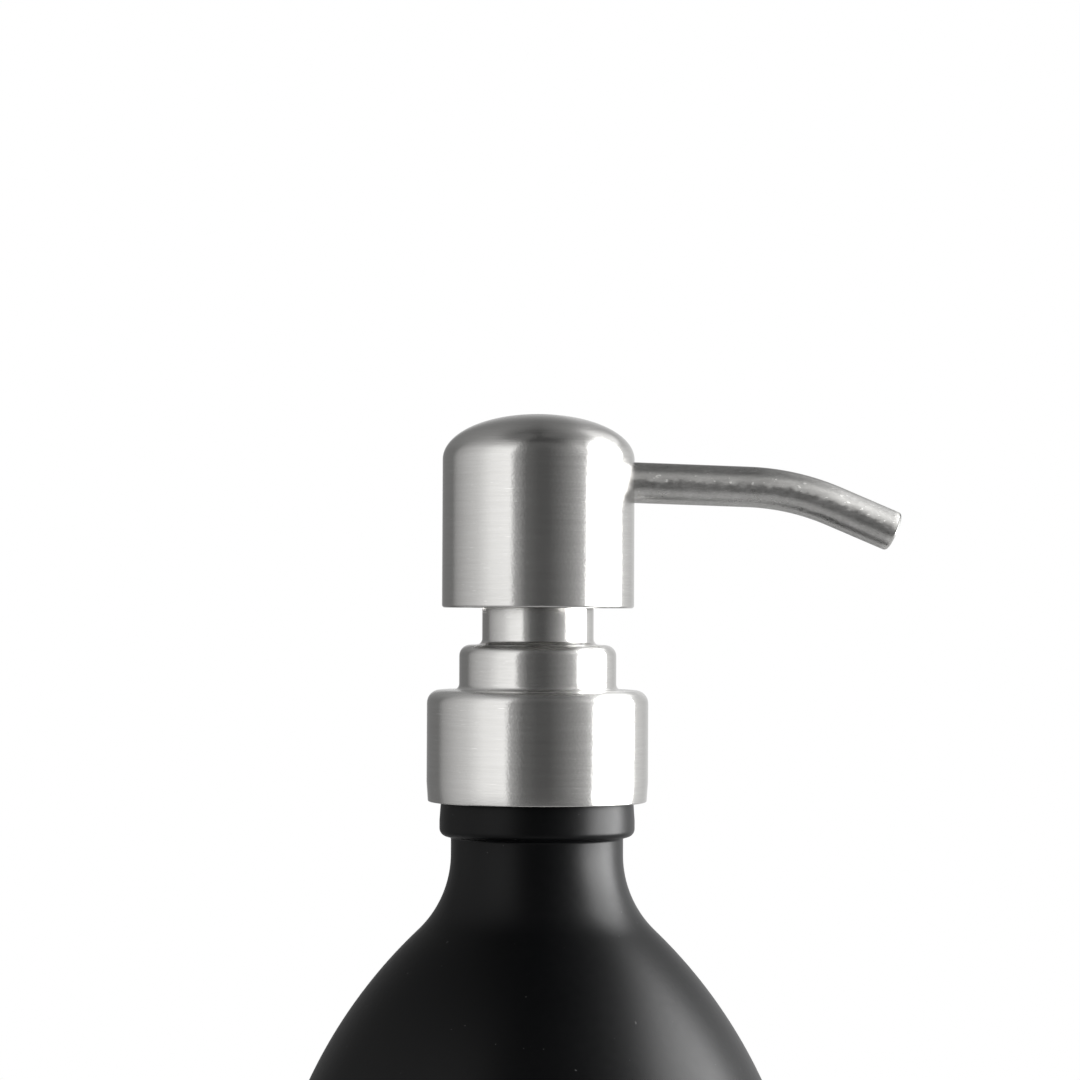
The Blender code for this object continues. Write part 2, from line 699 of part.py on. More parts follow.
def make_head_core():
    profile = [
        (0.0, CORE_TOP_Z),
        (CORE_RADIUS, CORE_TOP_Z),
        (CORE_RADIUS, CORE_SKIRT_Z),
        (CORE_RADIUS - CORE_SKIRT, CORE_SKIRT_Z),
        (CORE_RADIUS - CORE_SKIRT, CORE_PLATE_Z),
        (HUB_RADIUS, CORE_PLATE_Z),
        (HUB_RADIUS, HUB_Z),
        (STEM_RADIUS + GAP, HUB_Z),
        (STEM_RADIUS + GAP, STEM_TOP_Z + GAP),
        (CHANNEL_RADIUS, STEM_TOP_Z + GAP),
        (CHANNEL_RADIUS, CHANNEL_TOP_Z),
        (0.0, CHANNEL_TOP_Z),
    ]
    core = turned("head_core", profile, "white_polypropylene", closed=False)
    boss = cylinder("spout_boss", BOSS_RADIUS, spout_point(BOSS_START_X), spout_point(BOSS_END_X))
    boolean(core, "UNION", boss)
    wall = CORE_RADIUS - CORE_SKIRT
    for turn in (90, 180, 270):
        rib = box(
            f"core_rib_{turn}",
            (HUB_RADIUS - 0.0005, -RIB / 2, RIB_Z),
            (wall + 0.0004, RIB / 2, CORE_PLATE_Z + 0.0003),
            turn,
        )
        boolean(core, "UNION", rib)
    socket = cylinder(
        "spout_socket",
        SPOUT_RADIUS + GAP,
        spout_point(SPOUT_ROOT_X - GAP),
        spout_point(0.018),
    )
    channel = cylinder("head_channel", CHANNEL_RADIUS - 0.0001, spout_point(0.0), spout_point(0.006))
    boolean(core, "DIFFERENCE", socket)
    boolean(core, "DIFFERENCE", channel)


def spout_path(start_x, end_run):
    path = [Vector(spout_point(start_x)), Vector(spout_point(SPOUT_BEND_X))]
    first = math.radians(SPOUT_DROP)
    last = math.radians(SPOUT_TIP_DROP)
    radius = SPOUT_BEND_RADIUS
    centre = path[1] - radius * Vector((math.sin(first), 0.0, math.cos(first)))
    for step in range(1, SPOUT_BEND_STEPS + 1):
        angle = first + (last - first) * step / SPOUT_BEND_STEPS
        path.append(centre + radius * Vector((math.sin(angle), 0.0, math.cos(angle))))
    path.append(path[-1] + end_run * Vector((math.cos(last), 0.0, -math.sin(last))))
    return path


def make_pipe(name, path, radius, wall, sides, look):
    mesh = swept(name, path, radius, sides, capped=False)
    smooth(mesh, 40.0)
    pipe = new_object(name, mesh, look)
    solid = pipe.modifiers.new("Wall", "SOLIDIFY")
    solid.thickness = wall
    solid.offset = -1.0
    solid.use_even_offset = True


def make_spout():
    tube = spout_path(SPOUT_ROOT_X, SPOUT_END_RUN)
    liner = spout_path(SPOUT_ROOT_X + 0.0002, SPOUT_END_RUN - LINER_RECESS)
    make_pipe("spout_tube", tube, SPOUT_RADIUS, SPOUT_WALL, 20, "brushed_steel")
    make_pipe("spout_liner", liner, LINER_RADIUS, LINER_WALL, 16, "white_polypropylene")


clear_scene()
PIECES = new_collection("soap_pump_dispenser")
CUTTERS = new_collection("cutters")
CUTTERS.hide_render = True
make_bottle()
make_collar_shell()
make_screw_cap()
make_gasket()
make_cylinder()
make_stem_guide()
make_ball_cage()
make_ball()
make_dip_tube()
make_spring()
make_stem()
make_piston()
make_rod()
make_head_shell()
make_head_core()
make_spout()
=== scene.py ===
"""Looks of the soap pump dispenser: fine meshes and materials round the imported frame.

Metres, +Z up, the bottle's axis is the Z axis and the spout points along +X.
"""

import math

import bmesh
import bpy
from mathutils import Matrix, Vector


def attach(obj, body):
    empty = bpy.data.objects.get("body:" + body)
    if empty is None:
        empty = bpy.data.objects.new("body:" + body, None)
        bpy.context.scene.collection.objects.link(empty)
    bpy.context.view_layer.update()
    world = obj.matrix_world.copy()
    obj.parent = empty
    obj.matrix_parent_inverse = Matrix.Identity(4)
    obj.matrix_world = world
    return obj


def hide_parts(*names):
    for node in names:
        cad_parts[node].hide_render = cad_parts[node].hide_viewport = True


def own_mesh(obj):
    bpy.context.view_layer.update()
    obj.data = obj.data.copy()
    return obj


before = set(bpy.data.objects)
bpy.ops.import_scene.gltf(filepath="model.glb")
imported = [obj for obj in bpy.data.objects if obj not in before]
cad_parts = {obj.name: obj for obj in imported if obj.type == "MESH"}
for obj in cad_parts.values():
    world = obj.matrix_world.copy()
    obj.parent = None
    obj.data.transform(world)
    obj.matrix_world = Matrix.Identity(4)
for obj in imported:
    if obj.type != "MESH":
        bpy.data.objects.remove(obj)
bpy.context.view_layer.update()

# ---------------------------------------------------------------- sizes, as in the frame
GAP = 0.0003

BODY_RADIUS = 0.0400
GLASS = 0.0030
HEEL_ROUND = 0.0060
FLOOR_Z = 0.0060
FLOOR_ROUND = 0.0090
SHOULDER_Z = 0.0900
SHOULDER_ARC = 0.07285
NECK_RADIUS = 0.0126
NECK_ARC = 0.0154
NECK_CREASE = 0.0004
BEAD_BOTTOM_Z = 0.1565
BEAD_TOP_Z = 0.1621
BEAD_RADIUS = 0.01428
BEAD_TOP_RADIUS = 0.01405
BEAD_BAND = 0.0024
BEAD_ROUND = 0.0012
BEAD_TOP_ROUND = 0.0006
BEAD_CREASE = 0.0003
FINISH_RADIUS = 0.01255
LIP_Z = 0.1723
LIP_ROUND = 0.0008
THREAD_PITCH = 0.004233
THREAD_Z = 0.1652
THREAD_TURNS = 1.18
THREAD_BEAD = 0.0012
CAP_THREAD_DROP = 0.00205
CAP_THREAD_START = 0.25
CAP_THREAD_TURNS = 1.10
CAP_THREAD_BEAD = 0.0010

STEEL = 0.0005
COLLAR_RADIUS = 0.0162
COLLAR_BOTTOM_Z = 0.1616
COLLAR_TOP_Z = 0.1779
COLLAR_ROUND = 0.0019
COLLAR_TAPER_Z = 0.1645
COLLAR_TAPER_ROUND = 0.0060
COLLAR_FOOT_RADIUS = 0.0160
COLLAR_EDGE = 0.00022
TIER_RADIUS = 0.0115
TIER_TOP_Z = 0.1845
TIER_ROUND = 0.0016
TIER_FILLET = 0.0009
SLEEVE_RADIUS = 0.00816
SLEEVE_TOP_Z = 0.1914
SLEEVE_FILLET = 0.0009

HEAD_RADIUS = 0.01407
HEAD_BOTTOM_Z = 0.1899
DOME_Z = 0.2116
HEAD_TOP_Z = 0.2183
DOME_POWER = 2.05
HEAD_EDGE = 0.00040
HEAD_EDGE_FLAT = 0.00002
HOLE_PLAY = 0.00002
HOLE_START_X = 0.0100
HOLE_END_X = 0.0180

SPOUT_RADIUS = 0.0030
SPOUT_WALL = 0.0004
SPOUT_ROLL = (0.00050, 0.00038, 10)  # length, depth and steps of the rolled end
LINER_RADIUS = 0.0023
LINER_WALL = 0.0006
LINER_ROLL = (0.00030, 0.00012, 6)
LINER_RECESS = 0.0008
LINER_START = 0.0002
SPOUT_Z = 0.20880
SPOUT_DROP = 1.64
SPOUT_TIP_DROP = 22.5
SPOUT_ROOT_X = 0.0050
SPOUT_BEND_X = 0.0312
SPOUT_BEND_RADIUS = 0.0362
SPOUT_END_RUN = 0.0098

CAP_RADIUS = 0.0153
CAP_WALL_RADIUS = 0.01405
CAP_PLATE = 0.0015
CAP_BOTTOM_Z = 0.1630
CAP_ROUND = 0.0010
CAP_MOUTH_ROUND = 0.0003
CAP_BOSS_RADIUS = 0.0107
CAP_BOSS_BORE = 0.0087
CAP_BOSS_ROUND = 0.0008
GASKET = 0.0012
GASKET_RADIUS = 0.0123
GASKET_BORE = 0.0094
FLANGE = 0.0012
FLANGE_RADIUS = 0.0125
CYLINDER_BORE = 0.0060
CYLINDER_RADIUS = 0.0072
CYLINDER_TOP_RADIUS = 0.0070
LEDGE_Z = 0.1372
CHAMBER_BORE = 0.0035
CHAMBER_RADIUS = 0.0050
SEAT_HOLE = 0.0014
SEAT_Z = 0.1298
TAIL_STEP = 0.0006
TAIL_RADIUS = 0.0047
TAIL_BORE = 0.0033
TAIL_TOP_Z = 0.1285
TAIL_BOTTOM_Z = 0.1170
VENT_RADIUS = 0.0006
VENT_Z = 0.1706
VENT_START_Y = 0.0040
VENT_END_Y = 0.0090
BALL_RADIUS = 0.0025
CAGE = 0.0014
CAGE_RADIUS = 0.0056
CAGE_BORE = 0.0036
CAGE_BAR = 0.0010
CAGE_BAR_INSET = 0.0002
DIP_TUBE_RADIUS = 0.0030
DIP_TUBE_BORE = 0.0019
DIP_TUBE_BOTTOM_Z = 0.0095
DIP_TUBE_CUT = 35.0
CUT_REACH = 0.0100

STEM_RADIUS = 0.0040
STEM_BORE = 0.0022
STEM_TOP_Z = 0.2038
STEM_FLANGE = 0.0012
STOP_RADIUS = 0.0055
STOP_TOP_Z = 0.1796
PUSHER_RADIUS = 0.0053
PUSHER_Z = 0.1756
PISTON_Z = 0.1670
PISTON_TOP_Z = 0.1743
PISTON_LIP = 0.0057
PISTON_LIP_END = 0.0010  # the lips are straight for this height, and narrow to the waist in the next
PISTON_WAIST_END = 0.0020
PISTON_WAIST = 0.0050
PISTON_BORE = 0.0024
GROOVE_INNER = 0.0037
GROOVE_FLOOR = 0.0042
GROOVE_OUTER = 0.0051
GROOVE_DEPTH = 0.0021
ROD_FLANGE_RADIUS = 0.0049
ROD_FLANGE = 0.0015
ROD_TAIL_RADIUS = 0.0030
ROD_TAIL_Z = 0.1580
ROD_TAIL_ROUND = 0.0012
FIN_REACH = 0.00185
FIN = 0.0010
FIN_TOP_Z = 0.1810
CROSS_FIN_TOP = 0.0004  # how much lower the second fin ends
FIN_ROOT = 0.0002
GUIDE_RADIUS = 0.0074
GUIDE_MOUTH = 0.0064
GUIDE_TOP_Z = 0.1911
GUIDE_WEB_Z = 0.1814
GUIDE_WEB_TOP_Z = 0.1832
GUIDE_BUSH_RADIUS = 0.0055
GUIDE_BUSH_Z = 0.1799
GUIDE_SKIRT_RADIUS = 0.0084
GUIDE_SLOPE = 0.0004

CORE_RADIUS = 0.01325
CORE_PLATE_Z = 0.2100
CORE_TOP_Z = 0.2116
CORE_SKIRT = 0.00105
CORE_SKIRT_Z = 0.2032
HUB_RADIUS = 0.0060
HUB_Z = 0.1959
BOSS_RADIUS = 0.0045
BOSS_START_X = 0.0030
BOSS_END_X = 0.0123
RIB = 0.0012
RIB_Z = 0.2045
RIB_ROOT = 0.0005
RIB_END = 0.0004
RIB_TOP = 0.0003
CHANNEL_RADIUS = 0.0018
CHANNEL_TOP_Z = 0.2093
CROSS_CHANNEL_RADIUS = 0.0017
CROSS_CHANNEL_END_X = 0.0060
WIRE_RADIUS = 0.00045
SPRING_RADIUS = 0.0044
SPRING_OPEN_TURNS = 6
SPRING_END_PITCH = 0.00125

FLANGE_Z = LIP_Z + GASKET + 2 * GAP
CYLINDER_TOP_Z = GUIDE_WEB_Z - GAP
CAP_PLATE_Z = FLANGE_Z + FLANGE + GAP
CAP_TOP_Z = CAP_PLATE_Z + CAP_PLATE
CAP_BOSS_Z = TIER_TOP_Z - STEEL - GAP
CAGE_Z = LEDGE_Z + GAP
SPRING_LOW_Z = CAGE_Z + CAGE + GAP
ROD_FLANGE_TOP_Z = PISTON_Z - GAP
SPRING_HIGH_Z = ROD_FLANGE_TOP_Z - ROD_FLANGE - GAP
BALL_Z = SEAT_Z - SEAT_HOLE + (BALL_RADIUS + GAP) * math.sqrt(2)

# Roundings of edges that have no size of their own.
SOFT_EDGE = 0.0002
HOUSING_EDGE = 0.00015
MOULD_EDGE = 0.00012

# How finely the meshes are cut.
ARC_STEPS = 8  # in a rounded corner of 90 degrees
SMALL_ROUND = 0.0004  # corners up to this size have fewer steps
SMALL_ARC_STEPS = 3
BOTTLE_STEPS = 224
STEEL_STEPS = 192
CAP_STEPS = 128
PUMP_STEPS = 96
PLUNGER_STEPS = 80
TUBE_STEPS = 64
BALL_STEPS = 48
VENT_STEPS = 24
ROD_STEPS = 48
SHOULDER_STEPS = 48
NECK_STEPS = 28
DOME_STEPS = 48
SPOUT_STEPS = 96
SPOUT_ROOT_STEPS = 12
SPOUT_BEND_STEPS = 28
SPOUT_END_STEPS = 8
THREAD_STEPS = 72
THREAD_FADE = 9  # steps over which a thread grows to its full size
THREAD_START = 0.35  # share of the full size where it begins
SPRING_STEPS = 48
THREAD_SIDES = 16
SPRING_SIDES = 14
SHARP = 40.0  # degrees; sharper edges aren't smoothed over
STRAIGHT = 88.0  # half the angle at a corner that is as good as straight
TINY = 1e-7

# ---------------------------------------------------------------- camera
VIEW_AZIMUTH = -7.0  # degrees; the spout points a little away from the camera
CAMERA_DISTANCE = 0.528
CAMERA_Z = 0.1901
CAMERA_PITCH = 1.06
CAMERA_SIDE = 0.00025
CAMERA_ROLL = 0.25
LENS = 120.13


def make_camera():
    data = bpy.data.cameras.new("camera")
    data.lens = LENS
    data.sensor_width = 36.0
    data.clip_start = 0.01
    data.clip_end = 50.0
    camera = bpy.data.objects.new("camera", data)
    bpy.context.scene.collection.objects.link(camera)
    a = math.radians(VIEW_AZIMUTH)
    back = Vector((math.sin(a), -math.cos(a), 0.0))
    right = Vector((math.cos(a), math.sin(a), 0.0))
    place = back * CAMERA_DISTANCE + right * CAMERA_SIDE + Vector((0.0, 0.0, CAMERA_Z))
    turn = Matrix.Rotation(a, 4, "Z") @ Matrix.Rotation(math.radians(90.0 + CAMERA_PITCH), 4, "X")
    camera.matrix_world = (
        Matrix.Translation(place) @ turn @ Matrix.Rotation(math.radians(CAMERA_ROLL), 4, "Z")
    )
    bpy.context.scene.camera = camera


# ---------------------------------------------------------------- node helpers
class Nodes:
    """Short calls for building a node tree; arguments that are sockets get linked."""

    def __init__(self, tree):
        self.tree = tree

    def put(self, kind, inputs=(), **settings):
        node = self.tree.nodes.new(kind)
        for key, value in settings.items():
            setattr(node, key, value)
        for name, value in dict(inputs).items():
            if isinstance(value, bpy.types.NodeSocket):
                self.tree.links.new(value, node.inputs[name])
            else:
                node.inputs[name].default_value = value
        return node

    def math(self, operation, a, b=None, c=None, clamp=False):
        inputs = {0: a}
        if b is not None:
            inputs[1] = b
        if c is not None:
            inputs[2] = c
        return self.put("ShaderNodeMath", inputs, operation=operation, use_clamp=clamp).outputs[0]

    def noise(self, vector, scale, detail=2.0, roughness=0.5):
        return self.put(
            "ShaderNodeTexNoise",
            {"Vector": vector, "Scale": scale, "Detail": detail, "Roughness": roughness},
        ).outputs["Fac"]

    def span(self, value, low, high, to_low, to_high, smooth=False):
        node = self.put(
            "ShaderNodeMapRange",
            {
                "Value": value,
                "From Min": low,
                "From Max": high,
                "To Min": to_low,
                "To Max": to_high,
            },
        )
        if smooth:
            node.interpolation_type = "SMOOTHSTEP"
        return node.outputs["Result"]

    def ramp(self, value, stops):
        node = self.put("ShaderNodeValToRGB", {"Fac": value})
        elements = node.color_ramp.elements
        while len(elements) < len(stops):
            elements.new(0.5)
        for element, (place, colour) in zip(elements, stops):
            element.position = place
            element.color = (*colour, 1.0)
        return node.outputs["Color"]

    def vary(self, base, noise, reach, clamp=False):
        """base, raised and lowered by a noise"""
        return self.math("MULTIPLY_ADD", self.math("SUBTRACT", noise, 0.5), reach, base, clamp)

    def bump(self, height, strength, distance):
        inputs = {"Strength": strength, "Distance": distance, "Height": height}
        return self.put("ShaderNodeBump", inputs).outputs[0]

    def mix(self, share, a, b):
        node = self.put("ShaderNodeMix", data_type="RGBA")
        for socket, value in ((node.inputs[0], share), (node.inputs[6], a), (node.inputs[7], b)):
            if isinstance(value, bpy.types.NodeSocket):
                self.tree.links.new(value, socket)
            else:
                socket.default_value = value
        return node.outputs[2]


def new_material(name):
    """(material, nodes, its Principled shader)"""
    material = bpy.data.materials.new(name)
    material.use_nodes = True
    nodes = Nodes(material.node_tree)
    return material, nodes, material.node_tree.nodes["Principled BSDF"]


def link(nodes, value, shader, name):
    nodes.tree.links.new(value, shader.inputs[name])


# ---------------------------------------------------------------- materials
def brushed_steel(name, seed, painted_top_light=0.0):
    """Stainless brushed on a lathe: fine lines run round the Z axis.

    The last argument is how much duller and lighter the faces that look up are made; the lighter
    colour is painted light from above.
    """
    material, nodes, shader = new_material(name)
    coordinates = nodes.put("ShaderNodeTexCoord").outputs
    place = coordinates["Object"]
    parts = nodes.put("ShaderNodeSeparateXYZ", {0: place}).outputs
    radius = nodes.put(
        "ShaderNodeVectorMath",
        {0: nodes.put("ShaderNodeCombineXYZ", {0: parts[0], 1: parts[1]}).outputs[0]},
        operation="LENGTH",
    ).outputs["Value"]
    safe = nodes.math("MAXIMUM", radius, 0.0005)
    across = nodes.math("SUBTRACT", parts[2], radius)  # grows steadily along every meridian

    def lines(round_scale, across_scale, shift, detail):
        vector = nodes.put(
            "ShaderNodeCombineXYZ",
            {
                0: nodes.math("MULTIPLY", nodes.math("DIVIDE", parts[0], safe), round_scale),
                1: nodes.math("MULTIPLY", nodes.math("DIVIDE", parts[1], safe), round_scale),
                2: nodes.math("MULTIPLY_ADD", across, across_scale, shift + seed),
            },
        ).outputs[0]
        return nodes.noise(vector, 1.0, detail)

    fine = lines(2.6, 5200.0, 0.0, 3.0)
    coarse = lines(1.4, 1500.0, 31.0, 2.0)
    short = lines(10.0, 5400.0, 57.0, 2.0)
    cloud = nodes.noise(place, 140.0, 3.0)
    patch = nodes.noise(place, 2600.0, 2.0)
    hair = lines(7.0, 6400.0, 83.0, 1.0)
    scratch = nodes.span(short, 0.69, 0.76, 0.0, 1.0)
    fleck = nodes.span(hair, 0.72, 0.79, 0.0, 1.0)
    grain = nodes.math("MULTIPLY_ADD", coarse, 0.45, nodes.math("MULTIPLY", fine, 0.55))
    colour = nodes.ramp(
        grain,
        [
            (0.30, (0.553, 0.546, 0.533)),
            (0.50, (0.580, 0.573, 0.560)),
            (0.70, (0.607, 0.601, 0.588)),
        ],
    )
    light = nodes.mix(nodes.math("MULTIPLY", scratch, 0.42), colour, (0.82, 0.815, 0.80, 1.0))
    light = nodes.mix(nodes.math("MULTIPLY", fleck, 0.40), light, (0.84, 0.835, 0.82, 1.0))
    if painted_top_light:
        upward = nodes.put("ShaderNodeSeparateXYZ", {0: coordinates["Normal"]}).outputs[2]
        # Painted light: the faces that look up are painted lighter, as light from above, and made
        # duller.
        painted_top_light_mask = nodes.span(upward, 0.18, 0.90, 0.0, painted_top_light, smooth=True)
        light = nodes.mix(painted_top_light_mask, light, (0.97, 0.965, 0.95, 1.0))
    link(nodes, light, shader, "Base Color")
    uneven = nodes.vary(0.17, cloud, 0.10)
    uneven = nodes.vary(uneven, coarse, 0.06)
    uneven = nodes.vary(uneven, fine, 0.05, clamp=True)
    if painted_top_light:
        uneven = nodes.math("MULTIPLY_ADD", painted_top_light_mask, 0.20, uneven)
    link(nodes, uneven, shader, "Roughness")
    shader.inputs["Metallic"].default_value = 1.0
    shader.inputs["Anisotropic"].default_value = 0.88
    shader.inputs["Anisotropic Rotation"].default_value = 0.25
    tangent = nodes.put("ShaderNodeTangent", direction_type="RADIAL", axis="Z").outputs[0]
    link(nodes, tangent, shader, "Tangent")
    grooves = nodes.math("MULTIPLY_ADD", fine, 0.20, nodes.math("MULTIPLY", hair, 0.30))
    dents = nodes.math("MULTIPLY_ADD", short, 0.90, nodes.math("MULTIPLY", patch, 1.3))
    height = nodes.math("ADD", grooves, dents)
    link(nodes, nodes.bump(height, 0.22, 0.00003), shader, "Normal")
    return material


def satin_steel(name):
    """The spout's tube: bead-blasted satin with scuffs and nicks along its upper side, a painted
    sheen on its slanting upper band, and painted shade on its top and on its rolled end.
    """
    material, nodes, shader = new_material(name)
    coordinates = nodes.put("ShaderNodeTexCoord").outputs
    place = coordinates["Object"]
    stretched = nodes.put(
        "ShaderNodeMapping", {"Vector": place, "Scale": (0.55, 1.0, 1.0)}
    ).outputs[0]
    fine = nodes.noise(stretched, 4200.0, 3.0)
    mottle = nodes.noise(stretched, 1100.0, 3.0, 0.6)
    cloud = nodes.noise(place, 210.0, 3.0)
    # A band on the sides that face up at a slant: it has the most scuffs and nicks, and is painted
    # lighter, partly scuffing and partly a painted sheen.
    upward = nodes.put("ShaderNodeSeparateXYZ", {0: coordinates["Normal"]}).outputs[2]
    ragged = nodes.vary(upward, mottle, 0.5)
    scuffs_and_painted_sheen = nodes.math(
        "MULTIPLY",
        nodes.span(ragged, -0.04, 0.18, 0.0, 1.0, smooth=True),
        nodes.span(ragged, 0.34, 0.66, 1.0, 0.0, smooth=True),
    )
    # Painted shade: the faces that look straight up are made darker.
    painted_top_shade = nodes.span(upward, 0.55, 0.85, 0.0, 1.0, smooth=True)
    # The last millimetre is made lighter, and the rolled edge round the upper side of its end is
    # painted dark, a painted shade that holds back its highlight, darkest on top.
    path, along = spout_path(SPOUT_ROOT_X, SPOUT_END_RUN)
    reach = nodes.put(
        "ShaderNodeVectorMath", {0: place, 1: along}, operation="DOT_PRODUCT"
    ).outputs["Value"]
    last = path[-1].dot(along)
    tip = nodes.span(reach, last - 0.0014, last - 0.0007, 0.0, 1.0, smooth=True)
    facing = nodes.put(
        "ShaderNodeVectorMath", {0: coordinates["Normal"], 1: along}, operation="DOT_PRODUCT"
    ).outputs["Value"]
    rim = nodes.math(
        "MULTIPLY",
        nodes.math(
            "MULTIPLY",
            nodes.span(facing, 0.02, 0.22, 0.0, 1.0, smooth=True),
            nodes.span(facing, 0.86, 0.97, 1.0, 0.0, smooth=True),
        ),
        nodes.math("MULTIPLY", tip, nodes.span(upward, -0.36, -0.16, 0.0, 1.0, smooth=True)),
    )
    nick = nodes.span(nodes.noise(stretched, 2300.0, 1.0), 0.66, 0.71, 0.0, 1.0)
    grain = nodes.math("MULTIPLY_ADD", mottle, 0.5, nodes.math("MULTIPLY", fine, 0.5))
    colour = nodes.ramp(
        grain,
        [(0.32, (0.40, 0.395, 0.385)), (0.5, (0.47, 0.465, 0.455)), (0.68, (0.54, 0.535, 0.525))],
    )
    # Painted sheen with scuffs: the slanting upper band is made lighter.
    colour = nodes.mix(nodes.math("MULTIPLY", scuffs_and_painted_sheen, 0.40), colour, (0.86, 0.85, 0.82, 1.0))
    # Painted shade on the top of the tube.
    colour = nodes.mix(nodes.math("MULTIPLY", painted_top_shade, 0.38), colour, (0.22, 0.22, 0.215, 1.0))
    # The last millimetre is made lighter.
    colour = nodes.mix(nodes.math("MULTIPLY", tip, 0.35), colour, (0.86, 0.85, 0.82, 1.0))
    # Painted shade: the rolled edge's upper side is made dark, darkest on top.
    rolled = nodes.ramp(upward, [(0.10, (0.095, 0.095, 0.092)), (0.45, (0.06, 0.06, 0.058))])
    colour = nodes.mix(rim, colour, rolled)
    speck = nodes.math("MULTIPLY", nick, nodes.math("MULTIPLY_ADD", scuffs_and_painted_sheen, 0.75, 0.12))
    colour = nodes.mix(speck, colour, (0.97, 0.96, 0.93, 1.0))
    link(nodes, colour, shader, "Base Color")
    uneven = nodes.vary(0.31, cloud, 0.16)
    uneven = nodes.vary(uneven, mottle, 0.16)
    uneven = nodes.math("MULTIPLY_ADD", scuffs_and_painted_sheen, 0.10, uneven)
    link(nodes, uneven, shader, "Roughness")
    shader.inputs["Metallic"].default_value = 1.0
    height = nodes.math("MULTIPLY_ADD", mottle, 1.4, nodes.math("MULTIPLY_ADD", nick, 0.8, fine))
    link(nodes, nodes.bump(height, 0.28, 0.00003), shader, "Normal")
    return material


def black_glass(name):
    """Opaque black satin coating sprayed on glass."""
    material, nodes, shader = new_material(name)
    coordinates = nodes.put("ShaderNodeTexCoord").outputs
    place = coordinates["Object"]
    skin = nodes.noise(place, 900.0, 3.0)
    powder = nodes.noise(place, 6500.0, 2.0)
    cloud = nodes.noise(place, 38.0, 3.0)
    dust = nodes.span(nodes.noise(place, 1500.0, 1.0), 0.795, 0.82, 0.0, 1.0)
    tone = nodes.math("MULTIPLY_ADD", powder, 0.6, nodes.math("MULTIPLY", cloud, 0.4))
    colour = nodes.ramp(
        tone, [(0.35, (0.0007, 0.0008, 0.0010)), (0.65, (0.0014, 0.0016, 0.0019))]
    )
    colour = nodes.mix(nodes.math("MULTIPLY", dust, 0.5), colour, (0.10, 0.10, 0.10, 1.0))
    link(nodes, colour, shader, "Base Color")
    uneven = nodes.vary(0.35, cloud, 0.06)
    uneven = nodes.vary(uneven, skin, 0.08)
    link(nodes, uneven, shader, "Roughness")
    # Painted shade: faces that look up are given a lower specular level, so they reflect a little
    # less.
    upward = nodes.put("ShaderNodeSeparateXYZ", {0: coordinates["Normal"]}).outputs[2]
    gloss = nodes.span(upward, 0.48, 0.74, 0.15, 0.10, smooth=True)
    link(nodes, gloss, shader, "Specular IOR Level")
    height = nodes.math("MULTIPLY_ADD", skin, 1.5, powder)
    link(nodes, nodes.bump(height, 0.10, 0.00005), shader, "Normal")
    return material


def moulded_plastic(name, low, high, rough, scatter=0.0):
    """Moulded polymer with a fine spark-eroded skin and faint flow clouds."""
    material, nodes, shader = new_material(name)
    place = nodes.put("ShaderNodeTexCoord").outputs["Object"]
    skin = nodes.noise(place, 2600.0, 3.0)
    cloud = nodes.noise(place, 130.0, 3.0)
    tone = nodes.math("MULTIPLY_ADD", skin, 0.3, nodes.math("MULTIPLY", cloud, 0.7))
    link(nodes, nodes.ramp(tone, [(0.35, low), (0.65, high)]), shader, "Base Color")
    uneven = nodes.vary(rough, skin, 0.12)
    uneven = nodes.vary(uneven, cloud, 0.10)
    link(nodes, uneven, shader, "Roughness")
    if scatter:
        shader.inputs["Subsurface Weight"].default_value = scatter
        shader.inputs["Subsurface Scale"].default_value = 0.001
    link(nodes, nodes.bump(skin, 0.08, 0.00004), shader, "Normal")
    return material


def bright_steel(name):
    """Bright drawn wire and a polished ball, with faint drawing marks."""
    material, nodes, shader = new_material(name)
    place = nodes.put("ShaderNodeTexCoord").outputs["Object"]
    fine = nodes.noise(place, 4200.0, 3.0)
    cloud = nodes.noise(place, 300.0, 2.0)
    colour = nodes.ramp(fine, [(0.3, (0.56, 0.56, 0.55)), (0.7, (0.70, 0.70, 0.69))])
    link(nodes, colour, shader, "Base Color")
    link(nodes, nodes.vary(0.20, cloud, 0.14), shader, "Roughness")
    shader.inputs["Metallic"].default_value = 1.0
    link(nodes, nodes.bump(fine, 0.06, 0.00002), shader, "Normal")
    return material


# ---------------------------------------------------------------- shapes
def arc(centre, radius, start, end, steps):
    """Points (radius, height) on an arc; the angles are in degrees from the outward direction."""
    points = []
    for step in range(steps + 1):
        angle = math.radians(start + (end - start) * step / steps)
        points.append((centre[0] + radius * math.cos(angle), centre[1] + radius * math.sin(angle)))
    return points


def rounded(corners, closed=True, edge=0.0):
    """The profile through corners (radius, height) or (radius, height, rounding).

    edge is the rounding of the corners that state none.
    """
    points = []
    last = len(corners) - 1
    for index, corner in enumerate(corners):
        here = Vector(corner[:2])
        rounding = corner[2] if len(corner) > 2 else edge
        if rounding == 0.0 or (not closed and index in (0, last)):
            points.append(tuple(here))
            continue
        before = (Vector(corners[index - 1][:2]) - here).normalized()
        after = (Vector(corners[(index + 1) % len(corners)][:2]) - here).normalized()
        half = before.angle(after) / 2
        if half > math.radians(STRAIGHT):
            points.append(tuple(here))
            continue
        centre = here + (before + after).normalized() * rounding / math.sin(half)
        start = here + before * rounding / math.tan(half) - centre
        end = here + after * rounding / math.tan(half) - centre
        first = math.degrees(math.atan2(start.y, start.x))
        sweep = math.degrees(math.atan2(start.cross(end), start.dot(end)))
        most = ARC_STEPS if rounding > SMALL_ROUND else SMALL_ARC_STEPS
        steps = max(1, round(abs(sweep) / 90 * most))
        points += arc(centre, rounding, first, first + sweep, steps)
    return points


